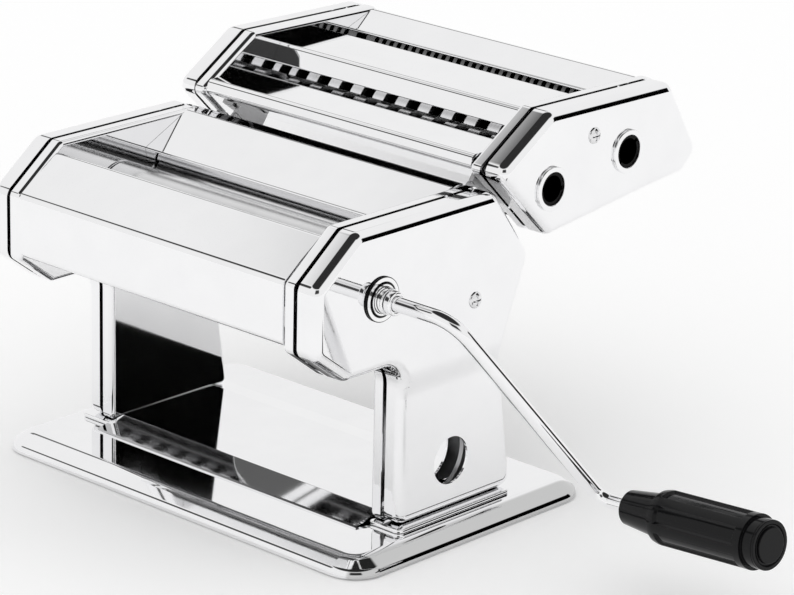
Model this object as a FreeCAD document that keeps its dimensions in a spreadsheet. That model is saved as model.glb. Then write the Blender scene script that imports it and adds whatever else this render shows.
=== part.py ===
import FreeCAD, Part
import math
import os
import re
import Sketcher

# Hand cranked pasta machine with a lift-off cutter head, in millimetres.
# Origin: middle of the footprint on the table. +X to the crank side, +Y to the back, +Z up.

doc = FreeCAD.newDocument("pasta_machine")
sheet = doc.addObject("Spreadsheet::Sheet", "Sizes")

SIZES = {
    # pressed base
    "base_half_x": 104.7, "base_half_y": 70.2, "base_top": 7.74, "base_lift": 0.8,
    "base_corner": 14.5, "base_edge": 2.5, "cover_wall": 1.0,
    "foot_inset_x": 18.7, "foot_inset_y": 18.2, "foot_radius": 9,
    # tie plate and leg feet
    "tie_front": -40, "tie_ramp_front": -25.4, "tie_ramp_back": 28, "tie_back": 40, "tie_rise": 3.26,
    "flange_inward": 5.4, "flange_edge": 5.7, "flange_front_past": 3.3, "flange_back_short": 4,
    "flange_thick": 1.76,
    "base_screw_out": 5, "base_screw_y": 18, "screw_shank": 1.5, "base_screw_head": 3.2,
    "screw_head_height": 1.8, "screw_gap": 0.1,
    # side build-up along X
    "side_ledge": 21.7, "plate_thick": 2, "cheek_depth": 10, "inner_depth": 5.7, "panel_gap": 0.1,
    "seam_inset": 2, "outer_rim": 2.5, "inner_rim": 2,
    # outline of the side covers; heights of the head are from the rollers' axis
    "leg_front_y": -31.6, "leg_back_y": 37, "foot_gap": 0.2, "head_bottom_down": 30.3,
    "front_y": -82.6, "chin_back": 18.1, "front_low_down": 16.8, "front_high_up": 10.7,
    "brow_back": 23.3, "crown_y": 19.8, "crown_up": 28.8, "nape_back": 21.7, "nape_down": 0.8,
    "neck_in": 9.7, "neck_down": 36.8, "corner_round": 3, "foot_round": 3, "leg_fillet": 11,
    "nape_round": 8,
    # table clamp hole and cover screws
    "clamp_y": -1.2, "clamp_z": 30.5, "clamp_radius": 10, "clamp_inner_radius": 14,
    "cover_screw_y": 8, "cover_screw_down": 13.1, "left_screw_y": 24, "left_screw_down": 21.8,
    "cover_screw_head": 3.5, "cover_screw_dome": 1.4, "slot_width": 0.9, "slot_length": 4.4,
    "slot_depth": 0.8,
    # front cover, rear cover and feed panel
    "return_back": 10.6, "return_up": 1.5, "front_bend_up": 0.3, "panel_top_back": 21.1,
    "panel_top_down": 3.4, "lip_back": 41.6, "lip_down": 20.6, "bend": 2.5, "tight_bend": 1.2,
    "feed_lip_y": -11.5, "feed_lip_down": 16.6, "feed_front_y": -12.5, "feed_front_down": 11.8,
    "feed_back": 8.3, "cover_seam": 3, "rear_low_in": 7.5, "rear_low_down": 19,
    "rear_return_in": 15.5,
    # rollers and their gears
    "axis_z": 109.8, "rear_axis_y": 4.6, "roller_spacing": 30.6, "drive_spacing": 20.5,
    "roller_radius": 14, "roller_clear": 0.5, "journal": 5, "running": 0.05, "gear_fit": 0.03,
    "gear_clear": 0.4, "gear_width": 3.9, "shaft_past": 0.7,
    "bush_radius": 7, "bush_flange": 8.5, "bush_inward": 1.4, "bush_past": 1.2, "web_hole": 7,
    "journal_past": 1,
    "gear_teeth": 25, "pinion_teeth": 16, "addendum": 0.9, "dedendum": 1.15, "backlash": 0.2,
    "flank": 20, "pair_teeth": 14, "pair_outer": 16, "pair_root": 11.9, "pair_pitch": 14.15,
    "pair_backlash": 0.42, "pair_flank": 17,
    # sliding blocks of the rear roller
    "gap_travel": 2.3, "block_y": 8.5, "block_z": 8, "keeper_inward": 1.8, "block_gap": 0.2,
    "block_lap": 0.2, "block_flange_z": 10.5, "slide_gap": 0.1, "window_gap": 0.3,
    "rod_offset": 20, "rod_radius": 2.5, "arm_z": 4, "arm_end": 4, "rod_short": 0.2,
    # tie rods and strippers
    "rod1_back": 16.6, "rod1_down": 1.8, "rod2_back": 22.6, "rod2_down": 21.8, "rod3_back": 11.2,
    "rod3_down": 7.8, "rod4_back": 0.2, "rod4_down": 25.8, "tie_radius": 3.5, "tie_neck": 2.5,
    "tie_rivet": 3.6, "rivet_thick": 1.4, "seat_gap": 0.05,
    "scraper_gap": 0.4, "scraper_wide": 10, "scraper_thick": 1.2, "scraper_angle": 45,
    # drive shaft, crank and grip
    "shaft_inward": 1.5, "cup_base": 0.7, "cup_proud": 3.8,
    "cup_radius": 6.9, "socket_radius": 5.5, "notch_depth": 1.1, "notch_width": 1.7,
    "boss_radius": 9.5, "boss_proud": 2.8, "boss_spigot": 7.6,
    "plug_radius": 5.35, "ear_depth": 0.9, "ear_width": 1.4, "plug_proud": 1, "crank_angle": 36,
    "rod_in_plug": 2, "crank_rod": 3, "elbow_reach": 33.7, "elbow_round": 13, "drop_run": 28.3,
    "drop": 99, "drop_round": 7, "tip_run": 81.2, "tip_rise": 9.87,
    "collar_radius": 4.9, "collar_gap": 0.2, "collar_long": 3.4,
    "grip_start": 16, "grip_length": 73, "grip_neck": 7, "grip_shoulder": 9, "shoulder_at": 18,
    "grip_belly": 11, "tail_long": 7, "grip_tail": 9.8, "cap_thick": 2, "cap_recess": 0.8,
    "cap_disc": 7, "washer_radius": 5.5, "washer_thick": 1.2,
    "washer_gap": 0.4,
    # thickness dial on the left
    "cam_thick": 1.9, "cam_radius": 24, "cam_shaft": 5.5, "neck_in_knob": 1.5,
    "cam_neck": 3, "collar_thick": 1, "cam_collar": 5, "spring_room": 6, "cam_turn": 270,
    "groove_gap": 0.1, "cheek_bore_gap": 0.1,
    "dial_scale_radius": 22, "dial_scale_thick": 0.8, "knob_radius": 18, "knob_gap": 2.5,
    "knob_thick": 16, "shoulder_in_knob": 3.5, "shoulder_thick": 2, "knob_cavity": 5.8,
    "knob_cap_thick": 1.5, "knob_lap": 0.5, "spring_radius": 4.4, "spring_wire": 0.4,
    "spring_turns": 4,
    # guides for the cutter head on the rear slant
    "guide_clear": 0.6, "guide_web_thick": 2, "guide_lip_wide": 4, "guide_low": -30, "guide_high": -8,
    "guide_lip_low": 4.2, "guide_lip_high": 5.4, "guide_stop": 2, "guide_seat": 0.05,
    "tongue_gap": 0.4, "tongue_leg": 2.1, "tongue_high": -10, "tongue_root_low": 10.1,
    "tongue_root_high": 7.6, "tongue_rest": 0.3, "tongue_thick": 3.3,
    # cutter head, measured from the crown corner of the body
    "nose_y": 0.4, "nose_z": 6.4, "bevel_y": 31.7, "bevel_z": 26.4, "tail_y": 107.2,
    "tail_down": 1.5, "heel_back": 19.5, "heel_up": 8.5, "sole_back": 10, "sole_z": -16.1,
    "belly_in": 11, "belly_down": 2, "keel_back": 0.5, "keel_z": -25.6,
    "nose_round": 3, "keel_round": 5,
    "wide_back": 0.6, "wide_z": -5, "wide_spacing": 16.9, "wide_radius": 10.5, "wide_core": 6,
    "wide_period": 13, "wide_groove": 6.8, "cutter_plain": 3.5,
    "narrow_in": 27.9, "narrow_z": 1.2, "narrow_spacing": 16.4, "narrow_radius": 9.6,
    "narrow_core": 6.3, "narrow_period": 4.4, "narrow_groove": 2.5,
    "cutter_clear": 3.1, "core_stub": 2, "cutter_teeth": 17, "cutter_bush": 6.4, "cutter_bush_flange": 8,
    "cutter_bush_inward": 1.2, "cutter_bush_past": 1, "cutter_web_hole": 6, "idle_past": 0.4,
    "cutter_cup_gap": 0.5, "cutter_cup_base": 1.5, "cutter_cup_proud": 0.4,
    "ring_radius": 9.2, "ring_spigot": 7.6, "ring_proud": 1.2,
    "wide_notch_angle": -8, "narrow_notch_angle": 38,
    "cutter_screw_y": 57.9, "cutter_screw_z": 12,
    "front_wall_in": 5.2, "front_wall_up": 7.2, "front_edge_back": 2.6, "front_edge_down": 0.7,
    "front_top_back": 1.2, "front_top_up": 5.2, "slot_front_in": 4.6, "slot_lip": 4.9,
    "middle_lip_back": 0.8, "middle_lip_down": 4.4, "middle_front_back": 11, "middle_front_down": 7.5,
    "middle_top_back": 4.1, "middle_top_down": 7, "middle_back_gap": 10.8, "middle_back_lip": 5.4,
    "rear_lip_back": 1.3, "rear_lip_down": 5.4, "rear_front_in": 18, "rear_front_down": 5.5,
    "rear_rise_in": 3.2, "rear_top_down": 1, "rear_edge_in": 1.2, "rear_wall_in": 1.5,
    "rear_wall_down": 0.6, "rear_foot_in": 7.7, "rear_foot_up": 2.1,
    "head_rod1_y": 14, "head_rod1_z": 3, "head_rod2_y": 64, "head_rod2_z": -15,
    "head_rod3_back": 4.8, "head_rod3_z": -4, "head_rod": 3, "head_rod_neck": 2.2,
    "head_rivet": 3.2, "wide_strip_y": 3, "narrow_strip_y": 5, "strip_tall": 4,
    "strip_thick": 1.2, "strip_gap": 0.5,
    # how far the cutting tools reach past what they cut
    "drill_past": 10, "tool_past": 1,
}
for row, (name, size) in enumerate(SIZES.items(), start=1):
    sheet.set(f"A{row}", name)
    sheet.set(f"B{row}", str(size))
    sheet.setAlias(f"B{row}", name)
doc.recompute()

# Places that follow from the sizes, each measured from the piece that it belongs to
PLACES = {
    # base, feet, tie plate and leg flanges
    "foot_x": "base_half_x - foot_inset_x", "foot_y": "base_half_y - foot_inset_y",
    "tie_top": "base_top + tie_rise", "flange_in": "plate_in - flange_inward",
    "flange_out": "base_half_x - flange_edge", "flange_front": "leg_front_y - flange_front_past",
    "flange_back": "leg_back_y - flange_back_short", "base_screw_x": "plate_out + base_screw_out",
    # side build-up along X
    "plate_out": "base_half_x - side_ledge", "plate_in": "plate_out - plate_thick",
    "cheek_out": "plate_out + cheek_depth", "inner_face": "plate_in - inner_depth",
    "panel_end": "inner_face - panel_gap",
    # outline of the side covers, and the panels between them
    "cover_foot_z": "base_top + flange_thick + foot_gap", "head_bottom_z": "axis_z - head_bottom_down",
    "chin_y": "front_y + chin_back", "front_low_z": "axis_z - front_low_down",
    "front_high_z": "axis_z + front_high_up", "brow_y": "front_y + brow_back",
    "crown_z": "axis_z + crown_up", "nape_y": "crown_y + nape_back", "nape_z": "axis_z - nape_down",
    "neck_y": "leg_back_y - neck_in", "neck_z": "axis_z - neck_down",
    "cover_screw_z": "axis_z - cover_screw_down", "left_screw_z": "axis_z - left_screw_down",
    "front_return_y": "front_y + return_back", "front_return_z": "front_low_z + return_up",
    "front_bend_z": "front_high_z + front_bend_up", "panel_top_y": "front_y + panel_top_back",
    "panel_top_z": "crown_z - panel_top_down", "lip_y": "front_y + lip_back",
    "lip_z": "crown_z - lip_down", "feed_lip_z": "crown_z - feed_lip_down",
    "feed_front_z": "crown_z - feed_front_down", "feed_back_y": "crown_y - feed_back",
    "rear_low_y": "nape_y - rear_low_in", "rear_low_z": "nape_z - rear_low_down",
    "rear_return_y": "nape_y - rear_return_in",
    # rollers, gears, bushes, blocks and rods
    "front_axis_y": "rear_axis_y - roller_spacing", "crank_axis_y": "front_axis_y - drive_spacing",
    "roller_half": "inner_face - roller_clear", "bush_in": "plate_in - bush_inward",
    "bush_out": "plate_out + bush_past", "gear_in": "bush_out + gear_clear",
    "shaft_end": "gear_in + gear_width + shaft_past", "block_in": "plate_in - keeper_inward",
    "block_step": "plate_in - block_gap", "block_out": "bush_out", "rod_end": "cam_out - rod_short",
    "rod1_y": "front_y + rod1_back", "rod1_z": "axis_z - rod1_down",
    "rod2_y": "front_y + rod2_back", "rod2_z": "axis_z - rod2_down",
    "rod3_y": "crown_y + rod3_back", "rod3_z": "axis_z - rod3_down",
    "rod4_y": "crown_y + rod4_back", "rod4_z": "axis_z - rod4_down",
    # drive shaft, crank and grip
    "shaft_in": "plate_in - shaft_inward", "cup_in": "gear_in + gear_width + gear_clear",
    "cup_floor": "cup_in + cup_base", "cup_out": "cheek_out + cup_proud",
    "boss_out": "cheek_out + boss_proud", "plug_out": "cup_out + plug_proud",
    "elbow_x": "cup_out + elbow_reach", "drop_x": "elbow_x + drop_run", "rod_tip_x": "drop_x + tip_run",
    "rod_tip_drop": "drop - tip_rise", "collar_in": "plug_out + collar_gap",
    "collar_out": "collar_in + collar_long", "belly_end": "grip_length - tail_long",
    # thickness dial
    "cam_in": "shaft_end + gear_clear", "cam_out": "cam_in + cam_thick",
    "knob_in": "cheek_out + knob_gap", "knob_out": "knob_in + knob_thick",
    "cam_neck_at": "knob_in + neck_in_knob", "knob_shoulder_in": "knob_in + shoulder_in_knob",
    "knob_shoulder_out": "knob_shoulder_in + shoulder_thick",
    "cam_collar_at": "knob_shoulder_out + spring_room", "cam_tip": "cam_collar_at + collar_thick",
    "knob_cap": "knob_out - knob_cap_thick",
    # guides for the cutter head
    "guide_out": "panel_end - guide_clear", "guide_web": "guide_out - guide_web_thick",
    "guide_in": "guide_web - guide_lip_wide",
    # cutter head
    "tail_z": "bevel_z - tail_down", "heel_y": "tail_y + heel_back", "heel_z": "sole_z + heel_up",
    "sole_y": "tail_y + sole_back", "belly_y": "tail_y - belly_in", "belly_z": "sole_z - belly_down",
    "keel_y": "bevel_y + keel_back", "wide_y": "bevel_y + wide_back", "narrow_y": "tail_y - narrow_in",
    "cutter_half": "inner_face - cutter_clear", "cutter_bush_in": "plate_in - cutter_bush_inward",
    "grooved_length": "( 2 * cutter_half - 2 * cutter_plain )",
    "wide_count": "( floor(( grooved_length - wide_groove ) / wide_period) + 1 )",
    "narrow_count": "( floor(( grooved_length - narrow_groove ) / narrow_period) + 1 )",
    "cutter_bush_out": "plate_out + cutter_bush_past", "idle_end": "cutter_bush_out + idle_past",
    "cutter_cup_in": "cutter_bush_out + cutter_cup_gap",
    "cutter_cup_floor": "cutter_cup_in + cutter_cup_base",
    "cutter_cup_out": "cheek_out + cutter_cup_proud", "ring_out": "cheek_out + ring_proud",
    "front_wall_y": "keel_y - front_wall_in", "front_wall_z": "keel_z + front_wall_up",
    "front_edge_y": "nose_y + front_edge_back", "front_edge_z": "nose_z - front_edge_down",
    "front_top_y": "front_edge_y + front_top_back", "front_top_z": "front_edge_z + front_top_up",
    "slot_front_y": "wide_y - slot_front_in", "middle_front_y": "bevel_y + middle_front_back",
    "middle_lip_y": "middle_front_y + middle_lip_back", "middle_top_z": "bevel_z - middle_top_down",
    "middle_front_z": "middle_top_z - middle_front_down", "middle_lip_z": "middle_front_z - middle_lip_down",
    "middle_top_y": "middle_front_y + middle_top_back", "middle_back_y": "rear_front_y - middle_back_gap",
    "rear_top_z": "tail_z - rear_top_down", "rear_front_y": "tail_y - rear_front_in",
    "rear_front_z": "rear_top_z - rear_front_down", "rear_lip_y": "rear_front_y + rear_lip_back",
    "rear_lip_z": "rear_front_z - rear_lip_down", "rear_rise_y": "tail_y - rear_rise_in",
    "rear_edge_y": "tail_y - rear_edge_in", "rear_wall_y": "heel_y - rear_wall_in",
    "rear_wall_z": "heel_z - rear_wall_down", "rear_foot_y": "heel_y - rear_foot_in",
    "rear_foot_z": "sole_z + rear_foot_up", "head_rod3_y": "tail_y + head_rod3_back",
}


def text(expression):
    """Write every size name in an expression as a cell of the sheet, and every place by its sizes."""
    def cell(word):
        name = word[0]
        if name in PLACES:
            return f"( {text(PLACES[name])} )"
        return "Sizes." + name if name in SIZES else name

    return re.sub("[a-z_][a-z0-9_]*", cell, expression)


def value(expression):
    """The number that an expression on the sheet has now."""
    found = sheet.evalExpression(text(expression))
    return float(getattr(found, "Value", found))


def bind(thing, settings):
    for key, expression in settings.items():
        thing.setExpression(key, text(expression))


def place(thing, x="0", y="0", z="0"):
    bind(thing, {"Placement.Base.x": x, "Placement.Base.y": y, "Placement.Base.z": z})
    return thing


def lean(thing, axis, angle):
    """Turn a piece about an axis by an angle in degrees; its first turn only sets the axis."""
    thing.Placement = FreeCAD.Placement(FreeCAD.Vector(), FreeCAD.Rotation(FreeCAD.Vector(*axis), 1))
    bind(thing, {"Placement.Rotation.Angle": f"( {angle} ) * 1 deg"})
    return thing


# The turn that lays a drawing's X, Y and Z along the machine's Y, Z and X
ACROSS = FreeCAD.Rotation(FreeCAD.Vector(1, 1, 1), 120)


parts = {}


def keep(label, thing):
    thing.Label = label
    parts[label] = thing
    return thing


# Sketched outlines

def origin_plane(body, role):
    return next(item for item in body.Origin.OriginFeatures if item.Role == role)


def draw(sketch, corners, closed=True):
    """Draw straight runs through corners of (across, up, radius), with an arc at each radius."""
    points = [(value(a), value(b), value(r)) for a, b, r in corners]
    count = len(points)
    cuts = []
    for index, (x, y, radius) in enumerate(points):
        here = FreeCAD.Vector(x, y, 0)
        if radius == 0:
            cuts.append((here, here, here, True))
            continue
        before = FreeCAD.Vector(*points[index - 1][:2], 0) - here
        after = FreeCAD.Vector(*points[(index + 1) % count][:2], 0) - here
        half = before.getAngle(after) / 2
        turn = before.cross(after).z
        before.normalize()
        after.normalize()
        middle = before + after
        middle.normalize()
        back = radius / math.tan(half)
        centre = here + middle * (radius / math.sin(half))
        cuts.append((here + before * back, here + after * back, centre, turn < 0))
    runs = count if closed else count - 1
    lines = []
    for index in range(runs):
        line = Part.LineSegment(cuts[index][1], cuts[(index + 1) % count][0])
        lines.append(sketch.addGeometry(line, False))
    for index, (x, y, radius) in enumerate(points):
        at = None
        if not closed and index == 0:
            at = (lines[0], 1)
        elif not closed and index == count - 1:
            at = (lines[-1], 2)
        elif radius == 0:
            sketch.addConstraint(Sketcher.Constraint("Coincident", lines[index - 1], 2, lines[index], 1))
            at = (lines[index], 1)
        else:
            at = round_corner(sketch, lines[index - 1], lines[index], cuts[index], points[index],
                              corners[index][2])
        for kind, key, number in (("DistanceX", 0, x), ("DistanceY", 1, y)):
            held = sketch.addConstraint(Sketcher.Constraint(kind, at[0], at[1], number))
            sketch.setExpression(f"Constraints[{held}]", text(corners[index][key]))


def round_corner(sketch, before, after, cut, point, radius_text):
    """Join two lines of a sketch by a tangent arc and return the corner point that places it."""
    start, end, centre, convex = cut
    x, y, radius = point
    if not convex:
        start, end = end, start
    first = math.atan2(start.y - centre.y, start.x - centre.x)
    last = math.atan2(end.y - centre.y, end.x - centre.x)
    circle = Part.Circle(centre, FreeCAD.Vector(0, 0, 1), radius)
    arc = sketch.addGeometry(Part.ArcOfCircle(circle, first, last), False)
    ends = (1, 2) if convex else (2, 1)
    sketch.addConstraint(Sketcher.Constraint("Tangent", before, 2, arc, ends[0]))
    sketch.addConstraint(Sketcher.Constraint("Tangent", arc, ends[1], after, 1))
    held = sketch.addConstraint(Sketcher.Constraint("Radius", arc, radius))
    sketch.setExpression(f"Constraints[{held}]", text(radius_text))
    corner = sketch.addGeometry(Part.Point(FreeCAD.Vector(x, y, 0)), True)
    sketch.addConstraint(Sketcher.Constraint("PointOnObject", corner, 1, before))
    sketch.addConstraint(Sketcher.Constraint("PointOnObject", corner, 1, after))
    return corner, 1


def draw_circle(sketch, radius):
    """Draw a circle about a sketch's origin."""
    size = value(radius)
    circle = Part.Circle(FreeCAD.Vector(), FreeCAD.Vector(0, 0, 1), size)
    ring = sketch.addGeometry(circle, False)
    sketch.addConstraint(Sketcher.Constraint("Coincident", ring, 3, -1, 1))
    held = sketch.addConstraint(Sketcher.Constraint("Radius", ring, size))
    sketch.setExpression(f"Constraints[{held}]", text(radius))


def body_sketch(body, name, role, offset="0"):
    sketch = body.newObject("Sketcher::SketchObject", name)
    sketch.AttachmentSupport = [(origin_plane(body, role), "")]
    sketch.MapMode = "FlatFace"
    bind(sketch, {"AttachmentOffset.Base.z": offset})
    return sketch


def pad(body, sketch, length, back=False):
    feature = body.newObject("PartDesign::Pad", sketch.Name + "_pad")
    feature.Profile = sketch
    feature.Reversed = back
    bind(feature, {"Length": length})
    sketch.Visibility = False
    return feature


def edges_near(shape, axis, level):
    """Numbers of the edges that lie wholly at one level of X or Z."""
    low, high = axis + "Min", axis + "Max"
    numbers = []
    for number, edge in enumerate(shape.Edges, start=1):
        box = edge.BoundBox
        if abs(getattr(box, low) - level) < 1e-4 and abs(getattr(box, high) - level) < 1e-4:
            numbers.append(number)
    return numbers


def rimmed_block(name, corners, inset, spot, length, rim, upright, back):
    """A block of an outline, drawn in if an inset is given, with a rounded rim on its far end."""
    outline = doc.addObject("Sketcher::SketchObject", name + "_outline")
    draw(outline, corners)
    if inset:
        drawn_in = doc.addObject("Part::Offset2D", name + "_inset")
        drawn_in.Source = outline
        bind(drawn_in, {"Value": negative(inset)})
        outline = drawn_in
    blank = doc.addObject("Part::Extrusion", name + "_blank")
    blank.Base = outline
    blank.DirMode = "Custom"
    blank.Dir = (0, 0, -1 if back else 1)
    blank.Solid = True
    if not upright:
        blank.Placement = FreeCAD.Placement(FreeCAD.Vector(), ACROSS)
    bind(blank, {"LengthFwd": length})
    place(blank, *spot)
    doc.recompute()
    axis, start = ("Z", spot[2]) if upright else ("X", spot[0])
    level = value(start) + (-1 if back else 1) * value(length)
    rounded = doc.addObject("Part::Fillet", name + "_rim")
    rounded.Base = blank
    rounded.Edges = [(number, value(rim), value(rim)) for number in edges_near(blank.Shape, axis, level)]
    return rounded


def pressed_shell(name, corners, spot, depth, rim, upright=False, back=False):
    """A pressed cover: rounded rim on its closed end, even wall, open where it starts."""
    outside = rimmed_block(name + "_outside", corners, None, spot, depth, rim, upright, back)
    along = 2 if upright else 0
    mouth = list(spot)
    mouth[along] = f"{spot[along]} {'+' if back else '-'} tool_past"
    hollow = rimmed_block(name + "_hollow", corners, "cover_wall", mouth,
                          f"{depth} - cover_wall + tool_past", f"{rim} - cover_wall", upright, back)
    return cut_from(name, outside, [hollow])


def turned(name, stations, y="0", z="0", bore="0"):
    """A piece turned about X, bored through if bore is set.

    Its stations are (X from, X to, radius), or with a second radius at the end of a taper."""
    body = doc.addObject("PartDesign::Body", name)
    sketch = body_sketch(body, name + "_profile", "XY_Plane")
    corners = [(stations[0][0], bore, "0")]
    for start, end, *radii in stations:
        corners.append((start, radii[0], "0"))
        corners.append((end, radii[-1], "0"))
    corners.append((stations[-1][1], bore, "0"))
    draw(sketch, corners[::-1])
    spun = body.newObject("PartDesign::Revolution", name + "_turned")
    spun.Profile = sketch
    spun.ReferenceAxis = (sketch, ["H_Axis"])
    spun.Angle = 360
    place(body, "0", y, z)
    return body


# Solids added and taken away

def cylinder(name, radius, length, x, y, z, upright=False):
    piece = doc.addObject("Part::Cylinder", name)
    if not upright:
        piece.Placement = FreeCAD.Placement(FreeCAD.Vector(), FreeCAD.Rotation(FreeCAD.Vector(0, 1, 0), 90))
    bind(piece, {"Radius": radius, "Height": length})
    return place(piece, x, y, z)


def block(name, x0, x1, y0, y1, z0, z1):
    piece = doc.addObject("Part::Box", name)
    bind(piece, {"Length": f"( {x1} ) - ( {x0} )", "Width": f"( {y1} ) - ( {y0} )",
                 "Height": f"( {z1} ) - ( {z0} )"})
    return place(piece, x0, y0, z0)


def joined(name, pieces):
    fuse = doc.addObject("Part::MultiFuse", name)
    fuse.Shapes = pieces
    return fuse


def cut_from(name, base, tools):
    result = doc.addObject("Part::Cut", name)
    result.Base = base
    result.Tool = tools[0] if len(tools) == 1 else joined(name + "_tools", tools)
    return result


def grouped(name, pieces):
    group = doc.addObject("Part::Compound", name)
    group.Links = pieces
    return group


def mirrored(name, source):
    other = doc.addObject("Part::Mirroring", name)
    other.Source = source
    other.Normal = (1, 0, 0)
    return other


def negative(expression):
    return f"0 - ( {expression} )"


# Gears, cut tooth gap by tooth gap

def gear(name, teeth, pitch, outer, root, slack, flank, start, width, y, z, behind=False):
    """A spur gear about X: a blank disc with one straight-sided gap repeated round it.

    A gap faces +Y, and on the gear that stands behind its mate a tooth faces -Y to fill it."""
    body = doc.addObject("PartDesign::Body", name)
    disc = body_sketch(body, name + "_blank", "YZ_Plane", start)
    draw_circle(disc, outer)
    draw_circle(disc, "journal + gear_fit")
    pad(body, disc, width)
    gap = body_sketch(body, name + "_gap", "YZ_Plane", start)
    half = f"( {pitch} ) * sin( 90 deg / ( {teeth} ) ) + ( {slack} )"
    slope = f"tan( ( {flank} ) * 1 deg )"
    out = f"( {outer} ) + tool_past"
    inside = f"{half} - ( ( {pitch} ) - ( {root} ) ) * {slope}"
    outside = f"{half} + ( {out} - ( {pitch} ) ) * {slope}"
    draw(gap, [(root, negative(inside), "0"), (out, negative(outside), "0"),
               (out, outside, "0"), (root, inside, "0")])
    doc.recompute()
    notch = body.newObject("PartDesign::Pocket", name + "_notch")
    notch.Profile = gap
    notch.Type = "Length"
    notch.Midplane = True
    bind(notch, {"Length": f"2 * ( ( {width} ) + tool_past )"})
    doc.recompute()
    ring = body.newObject("PartDesign::PolarPattern", name + "_teeth")
    ring.Originals = [notch]
    ring.Axis = (gap, ["N_Axis"])
    ring.Angle = 360
    bind(ring, {"Occurrences": teeth})
    body.Tip = ring
    lean(body, (1, 0, 0), f"mod(( {teeth} ) + 1; 2) * 180 / ( {teeth} )" if behind else "0")
    return place(body, "0", y, z)


# Base: a pressed pan on four rubber feet

base_corners = [("0 - base_half_x", "0 - base_half_y", "base_corner"),
                ("base_half_x", "0 - base_half_y", "base_corner"),
                ("base_half_x", "base_half_y", "base_corner"),
                ("0 - base_half_x", "base_half_y", "base_corner")]
pan = pressed_shell("base_shell", base_corners, ("0", "0", "base_lift"), "base_top - base_lift",
                    "base_edge", upright=True)
foot_signs = [(-1, -1), (1, -1), (1, 1), (-1, 1)]
feet = []
shank_holes = []
base_screw_pieces = []
for index, (side, end) in enumerate(foot_signs, start=1):
    feet.append(cylinder(f"foot_{index}", "foot_radius", "base_top - cover_wall",
                         f"{side} * foot_x", f"{end} * foot_y", "0", True))
    spot = (f"{side} * base_screw_x", f"{end} * base_screw_y")
    shank_holes.append(cylinder(f"base_hole_{index}", "screw_shank + screw_gap", "cover_foot_z",
                                *spot, "0", True))
    shank = cylinder(f"base_shank_{index}", "screw_shank", "flange_thick + cover_wall",
                     *spot, "base_top - cover_wall", True)
    head = cylinder(f"base_head_{index}", "base_screw_head", "screw_head_height",
                    *spot, "base_top - cover_wall - screw_head_height", True)
    base_screw_pieces.append(joined(f"base_screw_{index}", [shank, head]))
keep("base_pan", cut_from("base_drilled", pan, shank_holes))
keep("rubber_feet", grouped("feet_group", feet))
keep("base_screws", grouped("base_screw_group", base_screw_pieces))


# Folded sheets that run across the machine, from side to side

def folded_sheet(name, path, half_length, offset_y="0", offset_z="0"):
    """A sheet folded along a path in the YZ plane; the path is its outer face."""
    sketch = doc.addObject("Sketcher::SketchObject", name + "_path")
    draw(sketch, path, closed=False)
    strip = doc.addObject("Part::Offset2D", name + "_strip")
    strip.Source = sketch
    strip.Fill = True
    strip.Mode = "Skin"
    bind(strip, {"Value": "cover_wall"})
    sheet_metal = doc.addObject("Part::Extrusion", name + "_sheet")
    sheet_metal.Base = strip
    sheet_metal.DirMode = "Custom"
    sheet_metal.Dir = (0, 0, 1)
    sheet_metal.Solid = True
    sheet_metal.Symmetric = True
    sheet_metal.Placement = FreeCAD.Placement(FreeCAD.Vector(), ACROSS)
    bind(sheet_metal, {"LengthFwd": f"2 * ( {half_length} )"})
    return place(sheet_metal, "0", offset_y, offset_z)


keep("tie_plate", folded_sheet("tie", [
    ("tie_front", "base_top + cover_wall + seat_gap", "0"), ("tie_ramp_front", "tie_top", "bend"),
    ("tie_ramp_back", "tie_top", "bend"), ("tie_back", "base_top + cover_wall + seat_gap", "0"),
], "panel_end"))

keep("front_cover", folded_sheet("front", [
    ("front_return_y", "front_return_z", "0"), ("front_y", "front_return_z", "bend"),
    ("front_y", "front_bend_z", "bend"), ("panel_top_y", "panel_top_z", "bend"),
    ("lip_y", "lip_z", "0"),
], "panel_end"))

keep("feed_panel", folded_sheet("feed", [
    ("feed_lip_y", "feed_lip_z", "0"), ("feed_front_y", "feed_front_z", "tight_bend"),
    ("feed_back_y", "crown_z", "bend"), ("crown_y - cover_seam - window_gap", "crown_z", "0"),
], "panel_end"))

keep("rear_cover", folded_sheet("rear", [
    ("crown_y - cover_seam", "crown_z", "0"), ("crown_y", "crown_z", "bend"),
    ("nape_y", "nape_z", "nape_round"), ("rear_low_y", "rear_low_z", "bend"),
    ("rear_return_y", "rear_low_z", "0"),
], "panel_end"))


# Sides: a steel plate between an inner and an outer pressed cover

side_outline = [
    ("leg_front_y", "cover_foot_z", "foot_round"), ("leg_back_y", "cover_foot_z", "foot_round"),
    ("neck_y", "neck_z", "leg_fillet"), ("nape_y", "nape_z", "nape_round"),
    ("crown_y", "crown_z", "corner_round"), ("brow_y", "crown_z", "corner_round"),
    ("front_y", "front_high_z", "corner_round"), ("front_y", "front_low_z", "corner_round"),
    ("chin_y", "head_bottom_z", "corner_round"), ("leg_front_y", "head_bottom_z", "leg_fillet"),
]


def side_cover(name, outline, y, z, side, outside):
    """One pressed cover of one side, open towards the plate, before its holes are cut."""
    start, depth, rim = "plate_in", "plate_in - inner_face", "inner_rim"
    if outside:
        start, depth, rim = "plate_out", "cheek_out - plate_out", "outer_rim"
    start = start if side > 0 else negative(start)
    return pressed_shell(name, outline, (start, y, z), depth, rim, back=outside == (side < 0))


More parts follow.
